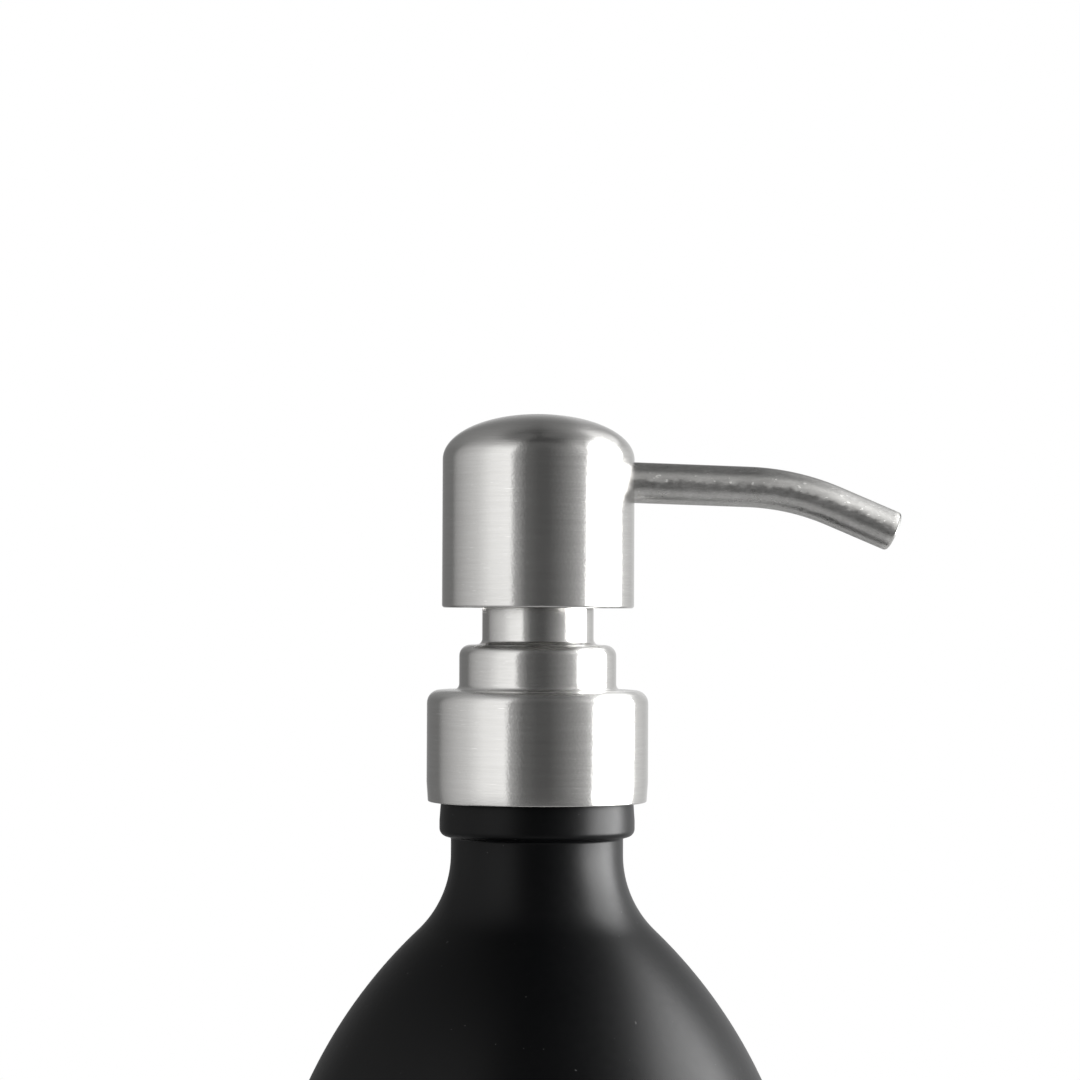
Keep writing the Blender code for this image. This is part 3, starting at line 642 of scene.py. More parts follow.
def finish_mesh(name, shape):
    bmesh.ops.recalc_face_normals(shape, faces=shape.faces)
    mesh = bpy.data.meshes.new(name)
    shape.to_mesh(mesh)
    shape.free()
    mesh.shade_smooth()
    mesh.set_sharp_from_angle(angle=math.radians(SHARP))
    obj = bpy.data.objects.new(name, mesh)
    bpy.context.scene.collection.objects.link(obj)
    return obj


def turned(name, profile, steps, closed=True):
    """A piece turned round the Z axis from a profile (radius, height)."""
    shape = bmesh.new()
    rings = []
    for radius, height in profile:
        if radius < TINY:
            rings.append([shape.verts.new((0.0, 0.0, height))])
            continue
        ring = []
        for step in range(steps):
            angle = 2 * math.pi * step / steps
            ring.append(
                shape.verts.new((radius * math.cos(angle), radius * math.sin(angle), height))
            )
        rings.append(ring)
    pairs = list(zip(rings, rings[1:]))
    if closed:
        pairs.append((rings[-1], rings[0]))
    for first, second in pairs:
        if len(first) == 1 and len(second) == 1:
            continue
        for step in range(steps):
            following = (step + 1) % steps
            corners = [first[step % len(first)], second[step % len(second)]]
            if len(second) > 1:
                corners.append(second[following])
            if len(first) > 1:
                corners.append(first[following])
            shape.faces.new(corners)
    return finish_mesh(name, shape)


def swept(name, path, sides, radius, radii=None, wall=0.0):
    """A round wire along a path, or a tube with a wall, open at both ends.

    radii holds the radius at each point as a share of the full one.
    """
    shape = bmesh.new()
    count = len(path)
    frames = []
    up = Vector((0.0, 0.0, 1.0))
    for index in range(count):
        ahead = path[min(index + 1, count - 1)]
        behind = path[max(index - 1, 0)]
        along = (ahead - behind).normalized()
        side = along.cross(up).normalized()
        frames.append((side, side.cross(along).normalized()))

    def rings_of(size):
        rings = []
        for index, (place, (side, over)) in enumerate(zip(path, frames)):
            reach = size * (radii[index] if radii else 1.0)
            ring = []
            for step in range(sides):
                angle = 2 * math.pi * step / sides
                ring.append(
                    shape.verts.new(
                        place + reach * (math.cos(angle) * side + math.sin(angle) * over)
                    )
                )
            rings.append(ring)
        return rings

    def skin(first, second):
        for step in range(sides):
            following = (step + 1) % sides
            shape.faces.new([first[step], second[step], second[following], first[following]])

    outer = rings_of(radius)
    for first, second in zip(outer, outer[1:]):
        skin(first, second)
    if wall:
        inner = rings_of(radius - wall)
        for first, second in zip(inner, inner[1:]):
            skin(first, second)
        skin(outer[0], inner[0])
        skin(outer[-1], inner[-1])
    else:
        shape.faces.new(outer[0])
        shape.faces.new(outer[-1])
    return finish_mesh(name, shape)


def helix(radius, start_z, start_turn, turns):
    path = []
    count = round(turns * THREAD_STEPS)
    for index in range(count + 1):
        turn = start_turn + turns * index / count
        angle = 2 * math.pi * turn
        height = start_z + THREAD_PITCH * turn
        path.append(Vector((radius * math.cos(angle), radius * math.sin(angle), height)))
    return path


def thread_ridge(name, radius, start_z, start_turn, turns, bead):
    path = helix(radius, start_z, start_turn, turns)
    count = len(path)
    radii = []
    for index in range(count):
        share = min(index, count - 1 - index, THREAD_FADE) / THREAD_FADE
        radii.append(THREAD_START + (1.0 - THREAD_START) * math.sin(share * math.pi / 2))
    return swept(name, path, THREAD_SIDES, bead, radii)


def rod_between(name, radius, start, end, steps=ROD_STEPS):
    along = Vector(end) - Vector(start)
    shape = bmesh.new()
    bmesh.ops.create_cone(
        shape, cap_ends=True, segments=steps, radius1=radius, radius2=radius, depth=along.length
    )
    turn = along.to_track_quat("Z", "Y").to_matrix().to_4x4()
    middle = Matrix.Translation((Vector(start) + Vector(end)) / 2)
    bmesh.ops.transform(shape, matrix=middle @ turn, verts=shape.verts)
    return finish_mesh(name, shape)


def block(name, low, high, turn=0.0):
    shape = bmesh.new()
    bmesh.ops.create_cube(shape, size=1.0)
    size = Vector(high) - Vector(low)
    place = Matrix.Translation((Vector(low) + Vector(high)) / 2) @ Matrix.Diagonal((*size, 1.0))
    bmesh.ops.transform(
        shape, matrix=Matrix.Rotation(math.radians(turn), 4, "Z") @ place, verts=shape.verts
    )
    return finish_mesh(name, shape)


def combine(obj, operation, *others):
    """Joins or cuts the others, which are used up, and applies the result to obj's mesh."""
    for other in others:
        modifier = obj.modifiers.new("combine", "BOOLEAN")
        modifier.operation = operation
        modifier.solver = "EXACT"
        modifier.object = other
    apply_modifiers(obj)
    for other in others:
        bpy.data.objects.remove(other)


def apply_modifiers(obj):
    graph = bpy.context.evaluated_depsgraph_get()
    mesh = bpy.data.meshes.new_from_object(obj.evaluated_get(graph))
    obj.modifiers.clear()
    obj.data = mesh
    shape = bmesh.new()
    shape.from_mesh(mesh)
    bmesh.ops.remove_doubles(shape, verts=shape.verts, dist=TINY)
    shape.to_mesh(mesh)
    shape.free()
    mesh.shade_smooth()
    mesh.set_sharp_from_angle(angle=math.radians(SHARP))


def dress(obj, material, slot, body, *nodes):
    obj.data.materials.clear()
    obj.data.materials.append(material)
    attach(obj, body)
    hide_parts(*nodes)
    return obj


# ---------------------------------------------------------------- bottle and closure
def bottle_profile():
    cosine = (NECK_ARC + NECK_RADIUS + SHOULDER_ARC - BODY_RADIUS) / (NECK_ARC + SHOULDER_ARC)
    slope = math.degrees(math.acos(cosine))
    shoulder = (BODY_RADIUS - SHOULDER_ARC, SHOULDER_Z)
    neck_z = SHOULDER_Z + (SHOULDER_ARC + NECK_ARC) * math.sin(math.radians(slope))
    neck = (NECK_RADIUS + NECK_ARC, neck_z)
    inside = rounded(
        [
            (0.0, FLOOR_Z),
            (BODY_RADIUS - GLASS, FLOOR_Z, FLOOR_ROUND),
            (BODY_RADIUS - GLASS, SHOULDER_Z),
        ],
        closed=False,
    )
    inside += arc(shoulder, SHOULDER_ARC - GLASS, 0, slope, SHOULDER_STEPS // 2)[1:]
    inside += arc(neck, NECK_ARC + GLASS, 180 + slope, 180, NECK_STEPS // 2)[1:]
    finish = rounded(
        [
            inside[-1],
            (NECK_RADIUS - GLASS, LIP_Z, LIP_ROUND / 2),
            (FINISH_RADIUS, LIP_Z, LIP_ROUND),
            (FINISH_RADIUS, BEAD_TOP_Z, BEAD_CREASE),
            (BEAD_TOP_RADIUS, BEAD_TOP_Z, BEAD_TOP_ROUND),
            (BEAD_RADIUS, BEAD_BOTTOM_Z + BEAD_BAND),
            (BEAD_RADIUS, BEAD_BOTTOM_Z, BEAD_ROUND),
            (NECK_RADIUS, BEAD_BOTTOM_Z, NECK_CREASE),
            (NECK_RADIUS, neck_z),
        ],
        closed=False,
    )[1:]
    outside = arc(neck, NECK_ARC, 180, 180 + slope, NECK_STEPS)[1:]
    outside += arc(shoulder, SHOULDER_ARC, slope, 0, SHOULDER_STEPS)[1:]
    heel = rounded(
        [outside[-1], (BODY_RADIUS, 0.0, HEEL_ROUND), (0.0, 0.0)],
        closed=False,
    )[1:]
    return inside + finish + outside + heel


def make_bottle(material):
    bottle = turned("bottle_glass", bottle_profile(), BOTTLE_STEPS, closed=False)
    ridge = thread_ridge("finish_thread", FINISH_RADIUS, THREAD_Z, 0.0, THREAD_TURNS, THREAD_BEAD)
    combine(bottle, "UNION", ridge)
    dress(bottle, material, "satin_black_glass", "bottle", "bottle")


def make_collar(material):
    outside = rounded(
        [
            (SLEEVE_RADIUS, SLEEVE_TOP_Z),
            (SLEEVE_RADIUS, TIER_TOP_Z, SLEEVE_FILLET),
            (TIER_RADIUS, TIER_TOP_Z, TIER_ROUND),
            (TIER_RADIUS, COLLAR_TOP_Z, TIER_FILLET),
            (COLLAR_RADIUS, COLLAR_TOP_Z, COLLAR_ROUND),
            (COLLAR_RADIUS, COLLAR_TAPER_Z, COLLAR_TAPER_ROUND),
            (COLLAR_FOOT_RADIUS, COLLAR_BOTTOM_Z, COLLAR_EDGE),
            (COLLAR_FOOT_RADIUS - STEEL, COLLAR_BOTTOM_Z, COLLAR_EDGE),
            (COLLAR_RADIUS - STEEL, COLLAR_TAPER_Z),
            (COLLAR_RADIUS - STEEL, COLLAR_TOP_Z - STEEL, COLLAR_ROUND - STEEL),
            (TIER_RADIUS - STEEL, COLLAR_TOP_Z - STEEL, TIER_FILLET + STEEL),
            (TIER_RADIUS - STEEL, TIER_TOP_Z - STEEL, TIER_ROUND - STEEL),
            (SLEEVE_RADIUS - STEEL, TIER_TOP_Z - STEEL, SLEEVE_FILLET + STEEL),
            (SLEEVE_RADIUS - STEEL, SLEEVE_TOP_Z),
        ],
        closed=False,
    )
    collar = turned("collar_cover", outside, STEEL_STEPS)
    dress(collar, material, "brushed_steel", "closure", "collar_shell")


def make_screw_cap(material):
    profile = rounded(
        [
            (CAP_BOSS_RADIUS, CAP_BOSS_Z, CAP_BOSS_ROUND),
            (CAP_BOSS_RADIUS, CAP_TOP_Z),
            (CAP_RADIUS, CAP_TOP_Z, CAP_ROUND),
            (CAP_RADIUS, CAP_BOTTOM_Z, SOFT_EDGE),
            (CAP_WALL_RADIUS, CAP_BOTTOM_Z, CAP_MOUTH_ROUND),
            (CAP_WALL_RADIUS, CAP_PLATE_Z),
            (CAP_BOSS_BORE, CAP_PLATE_Z, SOFT_EDGE),
            (CAP_BOSS_BORE, CAP_BOSS_Z, SOFT_EDGE),
        ]
    )
    cap = turned("screw_cap_moulding", profile, CAP_STEPS)
    ridge = thread_ridge(
        "cap_thread",
        CAP_WALL_RADIUS,
        THREAD_Z - CAP_THREAD_DROP,
        CAP_THREAD_START,
        CAP_THREAD_TURNS,
        CAP_THREAD_BEAD,
    )
    combine(cap, "UNION", ridge)
    dress(cap, material, "white_polypropylene", "closure", "screw_cap")


# ---------------------------------------------------------------- pump body
def make_pump_body(white, natural, rubber, bright):
    low = LIP_Z + GAP
    high = low + GASKET
    washer = rounded(
        [(GASKET_RADIUS, high), (GASKET_RADIUS, low), (GASKET_BORE, low), (GASKET_BORE, high)],
        edge=SOFT_EDGE,
    )
    gasket = turned("gasket_washer", washer, PUMP_STEPS)
    dress(gasket, rubber, "grey_rubber", "pump_body", "neck_gasket")
    step = CYLINDER_RADIUS - CHAMBER_RADIUS
    profile = rounded(
        [
            (CYLINDER_TOP_RADIUS, CYLINDER_TOP_Z),
            (CYLINDER_TOP_RADIUS, FLANGE_Z + FLANGE),
            (FLANGE_RADIUS, FLANGE_Z + FLANGE),
            (FLANGE_RADIUS, FLANGE_Z),
            (CYLINDER_RADIUS, FLANGE_Z),
            (CYLINDER_RADIUS, LEDGE_Z - FLANGE),
            (CHAMBER_RADIUS, LEDGE_Z - FLANGE - step),
            (CHAMBER_RADIUS, TAIL_TOP_Z),
            (TAIL_RADIUS, TAIL_TOP_Z - TAIL_STEP),
            (TAIL_RADIUS, TAIL_BOTTOM_Z),
            (TAIL_BORE, TAIL_BOTTOM_Z),
            (TAIL_BORE, TAIL_TOP_Z),
            (SEAT_HOLE, TAIL_TOP_Z),
            (SEAT_HOLE, SEAT_Z),
            (CHAMBER_BORE, SEAT_Z + CHAMBER_BORE - SEAT_HOLE),
            (CHAMBER_BORE, LEDGE_Z),
            (CYLINDER_BORE, LEDGE_Z),
            (CYLINDER_BORE, CYLINDER_TOP_Z),
        ],
        edge=HOUSING_EDGE,
    )
    housing = turned("pump_housing", profile, PUMP_STEPS)
    vent = rod_between(
        "vent_hole", VENT_RADIUS, (0.0, VENT_START_Y, VENT_Z), (0.0, VENT_END_Y, VENT_Z), VENT_STEPS
    )
    combine(housing, "DIFFERENCE", vent)
    dress(housing, natural, "natural_polyethylene", "pump_body", "pump_cylinder")
    skirt_bore = CYLINDER_TOP_RADIUS + GAP
    profile = rounded(
        [
            (GUIDE_RADIUS, GUIDE_TOP_Z),
            (GUIDE_RADIUS, GUIDE_WEB_TOP_Z),
            (GUIDE_SKIRT_RADIUS, GUIDE_WEB_TOP_Z - GUIDE_SLOPE),
            (GUIDE_SKIRT_RADIUS, FLANGE_Z + FLANGE + GAP),
            (skirt_bore, FLANGE_Z + FLANGE + GAP),
            (skirt_bore, GUIDE_WEB_Z),
            (GUIDE_BUSH_RADIUS, GUIDE_WEB_Z),
            (GUIDE_BUSH_RADIUS, GUIDE_BUSH_Z),
            (STEM_RADIUS + GAP, GUIDE_BUSH_Z),
            (STEM_RADIUS + GAP, GUIDE_WEB_TOP_Z),
            (GUIDE_MOUTH, GUIDE_WEB_TOP_Z),
            (GUIDE_MOUTH, GUIDE_TOP_Z),
        ],
        edge=MOULD_EDGE,
    )
    guide = turned("stem_guide_moulding", profile, PUMP_STEPS)
    dress(guide, white, "white_polypropylene", "pump_body", "stem_guide")
    high = CAGE_Z + CAGE
    profile = rounded(
        [(CAGE_RADIUS, high), (CAGE_RADIUS, CAGE_Z), (CAGE_BORE, CAGE_Z), (CAGE_BORE, high)],
        edge=MOULD_EDGE,
    )
    cage = turned("valve_cage", profile, PUMP_STEPS)
    reach = (CAGE_BORE + CAGE_RADIUS) / 2
    bar = block(
        "cage_bar",
        (-reach, -CAGE_BAR / 2, CAGE_Z + CAGE_BAR_INSET),
        (reach, CAGE_BAR / 2, high - CAGE_BAR_INSET),
    )
    combine(cage, "UNION", bar)
    dress(cage, white, "white_polypropylene", "pump_body", "ball_cage")
    high = TAIL_TOP_Z - GAP
    low = DIP_TUBE_BOTTOM_Z
    profile = [
        (DIP_TUBE_RADIUS, high),
        (DIP_TUBE_RADIUS, low),
        (DIP_TUBE_BORE, low),
        (DIP_TUBE_BORE, high),
    ]
    tube = turned("suction_tube", profile, TUBE_STEPS)
    cut = block(
        "tube_end_cut", (-CUT_REACH, -CUT_REACH, -2 * CUT_REACH), (CUT_REACH, CUT_REACH, 0.0)
    )
    tilt = Matrix.Rotation(-math.radians(DIP_TUBE_CUT), 4, "Y")
    cut.data.transform(Matrix.Translation((-DIP_TUBE_RADIUS, 0.0, low)) @ tilt)
    combine(tube, "DIFFERENCE", cut)
    dress(tube, natural, "natural_polyethylene", "pump_body", "dip_tube")
    ball = turned(
        "valve_ball",
        [(0.0, BALL_Z + BALL_RADIUS)]
        + arc((0.0, BALL_Z), BALL_RADIUS, 90, -90, BALL_STEPS // 2)[1:-1]
        + [(0.0, BALL_Z - BALL_RADIUS)],
        BALL_STEPS,
        closed=False,
    )
    dress(ball, bright, "spring_steel", "inlet_valve", "inlet_ball")


def make_spring(material):
    low = SPRING_LOW_Z + WIRE_RADIUS
    high = SPRING_HIGH_Z - WIRE_RADIUS
    turns = SPRING_OPEN_TURNS + 2
    path = []
    for index in range(turns * SPRING_STEPS + 1):
        turn = index / SPRING_STEPS
        share = min(max(turn - 1, 0.0), SPRING_OPEN_TURNS) / SPRING_OPEN_TURNS
        ends = SPRING_END_PITCH * (min(turn, 1.0) + max(turn - turns + 1, 0.0))
        height = low + ends + share * (high - low - 2 * SPRING_END_PITCH)
        angle = 2 * math.pi * turn
        x = SPRING_RADIUS * math.cos(angle)
        y = SPRING_RADIUS * math.sin(angle)
        path.append(Vector((x, y, height)))
    spring = swept("coil_spring", path, SPRING_SIDES, WIRE_RADIUS)
    dress(spring, material, "spring_steel", "pump_body", "return_spring")
    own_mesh(spring)


# ---------------------------------------------------------------- plunger
def make_plunger(white, natural):
    profile = rounded(
        [
            (STEM_RADIUS, STEM_TOP_Z),
            (STEM_RADIUS, STOP_TOP_Z),
            (STOP_RADIUS, STOP_TOP_Z),
            (STOP_RADIUS, STOP_TOP_Z - STEM_FLANGE),
            (STEM_RADIUS, STOP_TOP_Z - STEM_FLANGE),
            (STEM_RADIUS, PUSHER_Z + STEM_FLANGE),
            (PUSHER_RADIUS, PUSHER_Z + STEM_FLANGE),
            (PUSHER_RADIUS, PUSHER_Z),
            (STEM_BORE, PUSHER_Z),
            (STEM_BORE, STEM_TOP_Z),
        ],
        edge=MOULD_EDGE,
    )
    stem = turned("stem_tube", profile, PLUNGER_STEPS)
    dress(stem, white, "white_polypropylene", "plunger", "stem")
    profile = rounded(
        [
            (PISTON_LIP, PISTON_TOP_Z),
            (PISTON_LIP, PISTON_TOP_Z - PISTON_LIP_END),
            (PISTON_WAIST, PISTON_TOP_Z - PISTON_WAIST_END),
            (PISTON_WAIST, PISTON_Z + PISTON_WAIST_END),
            (PISTON_LIP, PISTON_Z + PISTON_LIP_END),
            (PISTON_LIP, PISTON_Z),
            (PISTON_BORE, PISTON_Z),
            (PISTON_BORE, PISTON_TOP_Z),
            (GROOVE_INNER, PISTON_TOP_Z),
            (GROOVE_FLOOR, PISTON_TOP_Z - GROOVE_DEPTH),
            (GROOVE_OUTER, PISTON_TOP_Z),
        ],
        edge=MOULD_EDGE,
    )
    piston = turned("piston_cup", profile, PLUNGER_STEPS)
    dress(piston, natural, "natural_polyethylene", "sliding_piston", "piston")
    under = ROD_FLANGE_TOP_Z - ROD_FLANGE
    profile = rounded(
        [
            (0.0, ROD_FLANGE_TOP_Z),
            (ROD_FLANGE_RADIUS, ROD_FLANGE_TOP_Z, SOFT_EDGE),
            (ROD_FLANGE_RADIUS, under, SOFT_EDGE),
            (ROD_TAIL_RADIUS, under, SOFT_EDGE),
            (ROD_TAIL_RADIUS, ROD_TAIL_Z, ROD_TAIL_ROUND),
            (0.0, ROD_TAIL_Z),
        ],
        closed=False,
    )
    rod = turned("rod_moulding", profile, PLUNGER_STEPS, closed=False)
    low = ROD_FLANGE_TOP_Z - ROD_FLANGE / 2
    fin = block("rod_fin", (-FIN_REACH, -FIN / 2, low), (FIN_REACH, FIN / 2, FIN_TOP_Z))
    cross = block(
        "rod_cross_fin",
        (-FIN_REACH, -FIN / 2, low - FIN_ROOT),
        (FIN_REACH, FIN / 2, FIN_TOP_Z - CROSS_FIN_TOP),
        90.0,
    )
    combine(rod, "UNION", fin, cross)
    dress(rod, white, "white_polypropylene", "plunger", "piston_rod")


# ---------------------------------------------------------------- head
def spout_point(x):
    return (x, 0.0, SPOUT_Z - x * math.tan(math.radians(SPOUT_DROP)))


def make_head(steel, spout_steel, white):
    outer = []
    inner = []
    for side, wall in ((outer, 0.0), (inner, STEEL)):
        reach = HEAD_RADIUS - wall
        rise = HEAD_TOP_Z - DOME_Z - wall
        for step in range(DOME_STEPS):
            angle = math.pi / 2 * step / DOME_STEPS
            side.append(
                (
                    reach * math.sin(angle) ** (2 / DOME_POWER),
                    DOME_Z + rise * math.cos(angle) ** (2 / DOME_POWER),
                )
            )
        side.append((reach, DOME_Z))
    rim = rounded(
        [
            outer[-1],
            (HEAD_RADIUS, HEAD_BOTTOM_Z, HEAD_EDGE),
            (HEAD_RADIUS - STEEL, HEAD_BOTTOM_Z, STEEL - HEAD_EDGE - HEAD_EDGE_FLAT),
            inner[-1],
        ],
        closed=False,
    )[1:-1]
    shell = turned("head_cover", outer + rim + inner[::-1], STEEL_STEPS, closed=False)
    hole = rod_between(
        "spout_hole",
        SPOUT_RADIUS + HOLE_PLAY,
        spout_point(HOLE_START_X),
        spout_point(HOLE_END_X),
        SPOUT_STEPS,
    )
    combine(shell, "DIFFERENCE", hole)
    dress(shell, steel, "brushed_steel", "head", "head_shell")

    profile = rounded(
        [
            (0.0, CORE_TOP_Z),
            (CORE_RADIUS, CORE_TOP_Z),
            (CORE_RADIUS, CORE_SKIRT_Z),
            (CORE_RADIUS - CORE_SKIRT, CORE_SKIRT_Z),
            (CORE_RADIUS - CORE_SKIRT, CORE_PLATE_Z),
            (HUB_RADIUS, CORE_PLATE_Z),
            (HUB_RADIUS, HUB_Z),
            (STEM_RADIUS + GAP, HUB_Z),
            (STEM_RADIUS + GAP, STEM_TOP_Z + GAP),
            (CHANNEL_RADIUS, STEM_TOP_Z + GAP),
            (CHANNEL_RADIUS, CHANNEL_TOP_Z),
            (0.0, CHANNEL_TOP_Z),
        ],
        closed=False,
        edge=HOUSING_EDGE,
    )
    core = turned("core_moulding", profile, CAP_STEPS, closed=False)
    joined = [
        rod_between("spout_boss", BOSS_RADIUS, spout_point(BOSS_START_X), spout_point(BOSS_END_X))
    ]
    for turn in (90, 180, 270):
        joined.append(
            block(
                f"core_rib_{turn}",
                (HUB_RADIUS - RIB_ROOT, -RIB / 2, RIB_Z),
                (CORE_RADIUS - CORE_SKIRT + RIB_END, RIB / 2, CORE_PLATE_Z + RIB_TOP),
                turn,
            )
        )
    combine(core, "UNION", *joined)
    socket = rod_between(
        "spout_socket",
        SPOUT_RADIUS + GAP,
        spout_point(SPOUT_ROOT_X - GAP),
        spout_point(HOLE_END_X),
    )
    channel = rod_between(
        "head_channel", CROSS_CHANNEL_RADIUS, spout_point(0.0), spout_point(CROSS_CHANNEL_END_X)
    )
    combine(core, "DIFFERENCE", socket, channel)
    dress(core, white, "white_polypropylene", "head", "head_core")

    line = spout_path(SPOUT_ROOT_X, SPOUT_END_RUN)
    tube = make_spout("spout_pipe", line, SPOUT_RADIUS, SPOUT_WALL, SPOUT_STEPS, *SPOUT_ROLL)
    dress(tube, spout_steel, "brushed_steel", "head", "spout_tube")
    line = spout_path(SPOUT_ROOT_X + LINER_START, SPOUT_END_RUN - LINER_RECESS)
    liner = make_spout("spout_lining", line, LINER_RADIUS, LINER_WALL, TUBE_STEPS, *LINER_ROLL)
    dress(liner, white, "white_polypropylene", "head", "spout_liner")


def spout_path(start_x, end_run):
    """The points of the spout's centre line, and its direction at the open end."""
    first = math.radians(SPOUT_DROP)
    last = math.radians(SPOUT_TIP_DROP)
    radius = SPOUT_BEND_RADIUS
    begin = Vector(spout_point(start_x))
    bend = Vector(spout_point(SPOUT_BEND_X))
    path = [begin.lerp(bend, step / SPOUT_ROOT_STEPS) for step in range(SPOUT_ROOT_STEPS)]
    centre = bend - radius * Vector((math.sin(first), 0.0, math.cos(first)))
    for step in range(SPOUT_BEND_STEPS + 1):
        angle = first + (last - first) * step / SPOUT_BEND_STEPS
        path.append(centre + radius * Vector((math.sin(angle), 0.0, math.cos(angle))))
    along = Vector((math.cos(last), 0.0, -math.sin(last)))
    end = path[-1]
    for step in range(1, SPOUT_END_STEPS + 1):
        path.append(end + along * end_run * step / SPOUT_END_STEPS)
    return path, along


def make_spout(name, line, radius, wall, sides, roll, inset, steps):
    """A tube along the spout's line, its open end rolled over so that it isn't sharp.

    roll and inset are the length and depth of the rolled end, made in so many steps.
    """
    path, along = line
    tip = path.pop()
    radii = [1.0] * len(path)
    for step in range(steps + 1):
        angle = math.pi / 2 * step / steps
        path.append(tip - along * roll * (1 - math.sin(angle)))
        radii.append(1.0 - inset * (1 - math.cos(angle)) / radius)
    return swept(name, path, sides, radius, radii, wall=wall)


# ---------------------------------------------------------------- studio
STAGE_RADIUS = 0.84
STAGE_Z = -0.0002
STAGE_FADE = (0.12, 0.42)  # distances from the middle where it starts to fade and is gone
STAGE_STEPS = 128


def make_floor():
    """A pale matt disc that fades out into the white surroundings."""
    shape = bmesh.new()
    bmesh.ops.create_circle(shape, cap_ends=True, segments=STAGE_STEPS, radius=STAGE_RADIUS)
    mesh = bpy.data.meshes.new("studio_floor")
    shape.to_mesh(mesh)
    shape.free()
    floor = bpy.data.objects.new("studio_floor", mesh)
    floor.location = (0.0, 0.0, STAGE_Z)
    bpy.context.scene.collection.objects.link(floor)
    material, nodes, shader = new_material("studio_floor")
    place = nodes.put("ShaderNodeTexCoord").outputs["Object"]
    grain = nodes.noise(place, 60.0, 4.0)
    colour = nodes.ramp(grain, [(0.3, (0.46, 0.46, 0.46)), (0.7, (0.49, 0.49, 0.49))])
    link(nodes, colour, shader, "Base Color")
    shader.inputs["Roughness"].default_value = 0.85
    away = nodes.put("ShaderNodeVectorMath", {0: place}, operation="LENGTH").outputs["Value"]
    fade = nodes.span(away, *STAGE_FADE, 1.0, 0.0, smooth=True)
    link(nodes, fade, shader, "Alpha")
    mesh.materials.append(material)


# Studio brightness near the horizon, by degrees from the camera's side, growing to its right.
STUDIO = [
    (-180, 0.75),
    (-174, 0.62),
    (-166, 0.26),
    (-150, 0.23),
    (-125, 0.24),
    (-116, 0.46),
    (-98, 0.68),
    (-78, 0.90),
    (-58, 1.30),
    (-34, 1.45),
    (-28, 0.55),
    (-15, 0.19),
    (0, 0.12),
    (12, 0.12),
    (24, 0.20),
    (38, 0.36),
    (50, 0.58),
    (62, 1.08),
    (112, 1.05),
    (124, 0.95),
    (146, 0.72),
    (164, 0.72),
    (180, 0.75),
]
# The same high above the horizon.
STUDIO_HIGH = [
    (-180, 0.20),
    (-150, 0.31),
    (-110, 0.41),
    (-50, 0.44),
    (-20, 0.17),
    (50, 0.16),
    (80, 0.34),
    (120, 0.52),
    (150, 0.38),
    (180, 0.20),
]
STUDIO_PEAK = 1.5
# The soft box on the right. Azimuths are in radians and heights are sines of the elevation.
BOX_LOW = 17.0
BOX_HIGH = 9.5
BOX_STRENGTH_HEIGHTS = (0.05, 0.50)
BOX_NEAR = (1.01, 1.26)
BOX_FAR = (1.97, 2.09)
BOX_HEIGHTS = (-0.40, -0.25, 0.63, 0.78)
BOX_LEAN = 0.29
BOX_FAR_LEAN = 0.25
BOX_CROWN_Z = 0.62
BOX_CROWN_LEAN = 1.50
FLANK = 0.7
FLANK_FAR = (2.58, 2.85)
FLANK_HEIGHTS = (0.40, 0.52, 0.74, 0.86)


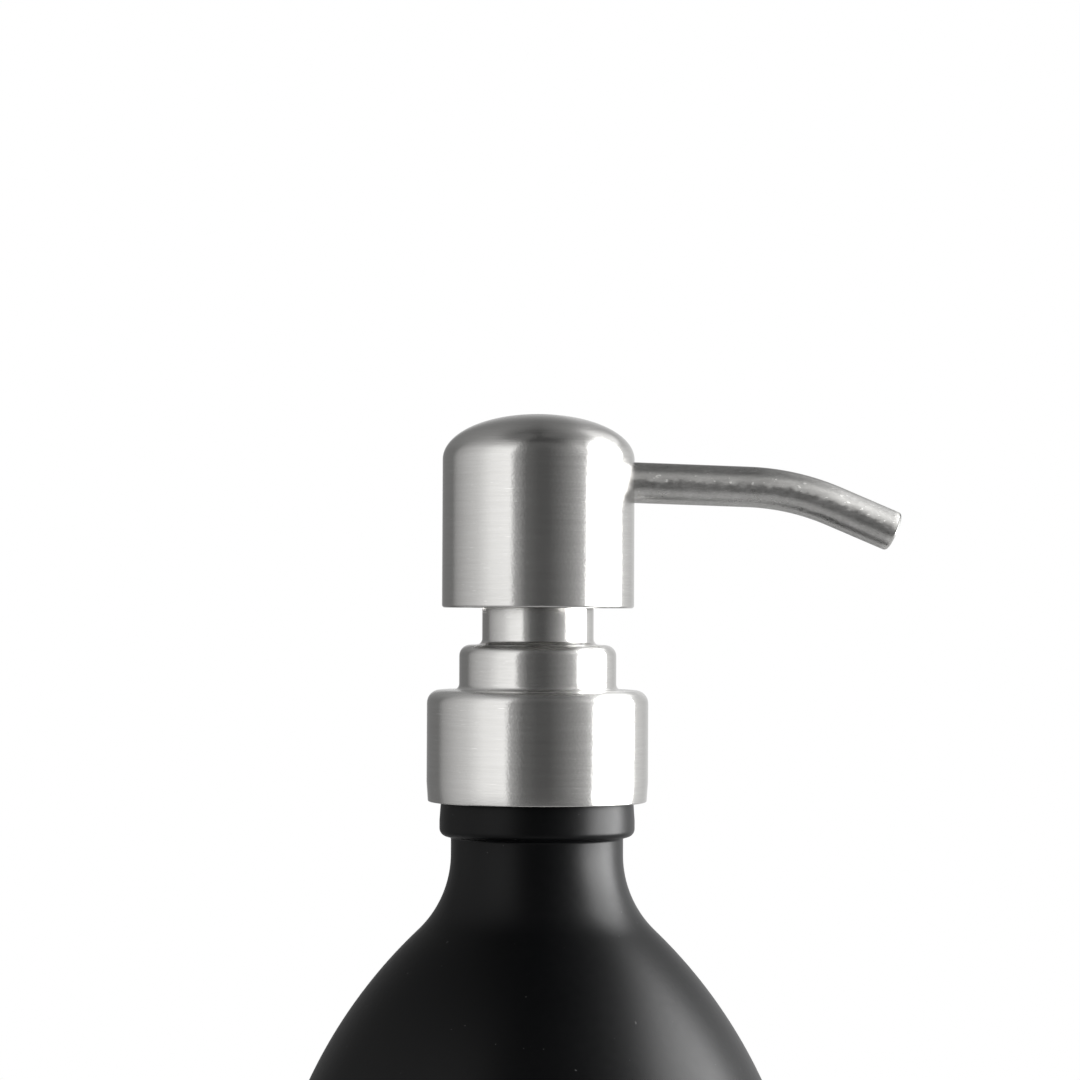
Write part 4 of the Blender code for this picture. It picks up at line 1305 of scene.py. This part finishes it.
def make_world():
    world = bpy.data.worlds.new("studio")
    bpy.context.scene.world = world
    world.use_nodes = True
    nodes = Nodes(world.node_tree)
    back = world.node_tree.nodes["Background"]
    direction = nodes.put("ShaderNodeTexCoord").outputs["Generated"]
    turn = nodes.put(
        "ShaderNodeVectorRotate",
        {"Vector": direction, "Angle": -math.radians(VIEW_AZIMUTH)},
        rotation_type="Z_AXIS",
    ).outputs[0]
    parts = nodes.put("ShaderNodeSeparateXYZ", {0: turn}).outputs
    # Azimuth 0 is towards the camera (-Y) and grows to the camera's right (+X).
    forward = nodes.math("MULTIPLY", parts[1], -1.0)
    azimuth = nodes.math("ARCTAN2", parts[0], forward)
    height = parts[2]

    def around(levels):
        share = nodes.math("MULTIPLY_ADD", azimuth, 0.5 / math.pi, 0.5)
        stops = []
        for degrees, level in levels:
            stops.append(((degrees + 180) / 360, (level / STUDIO_PEAK,) * 3))
        colour = nodes.ramp(share, stops)
        return nodes.put(
            "ShaderNodeVectorMath", {0: colour, "Scale": STUDIO_PEAK}, operation="SCALE"
        ).outputs[0]

    def window(value, start, full, fade, end):
        rise = nodes.span(value, start, full, 0.0, 1.0, smooth=True)
        fall = nodes.span(value, fade, end, 1.0, 0.0, smooth=True)
        return nodes.math("MULTIPLY", rise, fall)

    low = around(STUDIO)
    high = around(STUDIO_HIGH)
    behind = nodes.math("MAXIMUM", parts[1], 0.0)
    climb = nodes.math("MULTIPLY_ADD", behind, 0.42, height)
    top = nodes.span(climb, 0.52, 1.00, 0.0, 1.0, smooth=True)
    lit = nodes.mix(top, low, high)
    zenith = nodes.span(height, 0.84, 0.97, 0.0, 0.55, smooth=True)
    lit = nodes.mix(zenith, lit, (0.0, 0.0, 0.0, 1.0))
    ground = nodes.mix(0.5, low, (0.05, 0.05, 0.05, 1.0))
    below = nodes.span(height, -0.25, -0.50, 0.0, 1.0, smooth=True)
    lit = nodes.mix(below, lit, ground)
    # The strong soft box on the right leans away from the camera as it rises.
    raised = nodes.math("MAXIMUM", height, 0.0)
    crown = nodes.math("MAXIMUM", nodes.math("SUBTRACT", height, BOX_CROWN_Z), 0.0)
    near = nodes.math("MULTIPLY_ADD", raised, -BOX_LEAN, azimuth)
    near = nodes.math("MULTIPLY_ADD", crown, -BOX_CROWN_LEAN, near)
    opening = nodes.span(near, *BOX_NEAR, 0.0, 1.0, smooth=True)
    far = nodes.math("MULTIPLY_ADD", raised, -BOX_FAR_LEAN, azimuth)
    far = nodes.span(far, *BOX_FAR, 1.0, 0.0, smooth=True)
    box = nodes.math("MULTIPLY", nodes.math("MULTIPLY", opening, far), window(height, *BOX_HEIGHTS))
    level = nodes.span(height, *BOX_STRENGTH_HEIGHTS, BOX_LOW, BOX_HIGH)
    strength = nodes.math("MULTIPLY", box, level)
    # Its dimmer flank carries on round the back, higher up.
    beyond = nodes.span(azimuth, *FLANK_FAR, 1.0, 0.0, smooth=True)
    flank = nodes.math(
        "MULTIPLY", nodes.math("MULTIPLY", opening, beyond), window(height, *FLANK_HEIGHTS)
    )
    extra = nodes.math("MULTIPLY_ADD", flank, FLANK, strength)
    lit = nodes.put("ShaderNodeVectorMath", {0: lit, 1: extra}, operation="ADD").outputs[0]
    camera_ray = nodes.put("ShaderNodeLightPath").outputs["Is Camera Ray"]
    shown = nodes.mix(camera_ray, lit, (1.0, 1.0, 1.0, 1.0))
    world.node_tree.links.new(shown, back.inputs["Color"])
    back.inputs["Strength"].default_value = 1.0


# ---------------------------------------------------------------- build
make_camera()
steel_head = brushed_steel("steel_head", 0.0)
# The collar's faces that look up get painted top light.
steel_collar = brushed_steel("steel_collar", 7.3, painted_top_light=0.5)
spout_metal = satin_steel("steel_spout")
glass = black_glass("black_coating")
white = moulded_plastic("white_moulding", (0.74, 0.74, 0.72), (0.82, 0.82, 0.80), 0.42)
natural = moulded_plastic("milky_moulding", (0.80, 0.81, 0.79), (0.88, 0.89, 0.87), 0.36, 0.3)
rubber = moulded_plastic("grey_washer", (0.13, 0.13, 0.14), (0.19, 0.19, 0.20), 0.75)
bright = bright_steel("bright_steel")

make_bottle(glass)
make_collar(steel_collar)
make_screw_cap(white)
make_pump_body(white, natural, rubber, bright)
make_spring(bright)
make_plunger(white, natural)
make_head(steel_head, spout_metal, white)
make_floor()
make_world()
bpy.context.scene.view_settings.view_transform = "Standard"

bpy.context.view_layer.update()
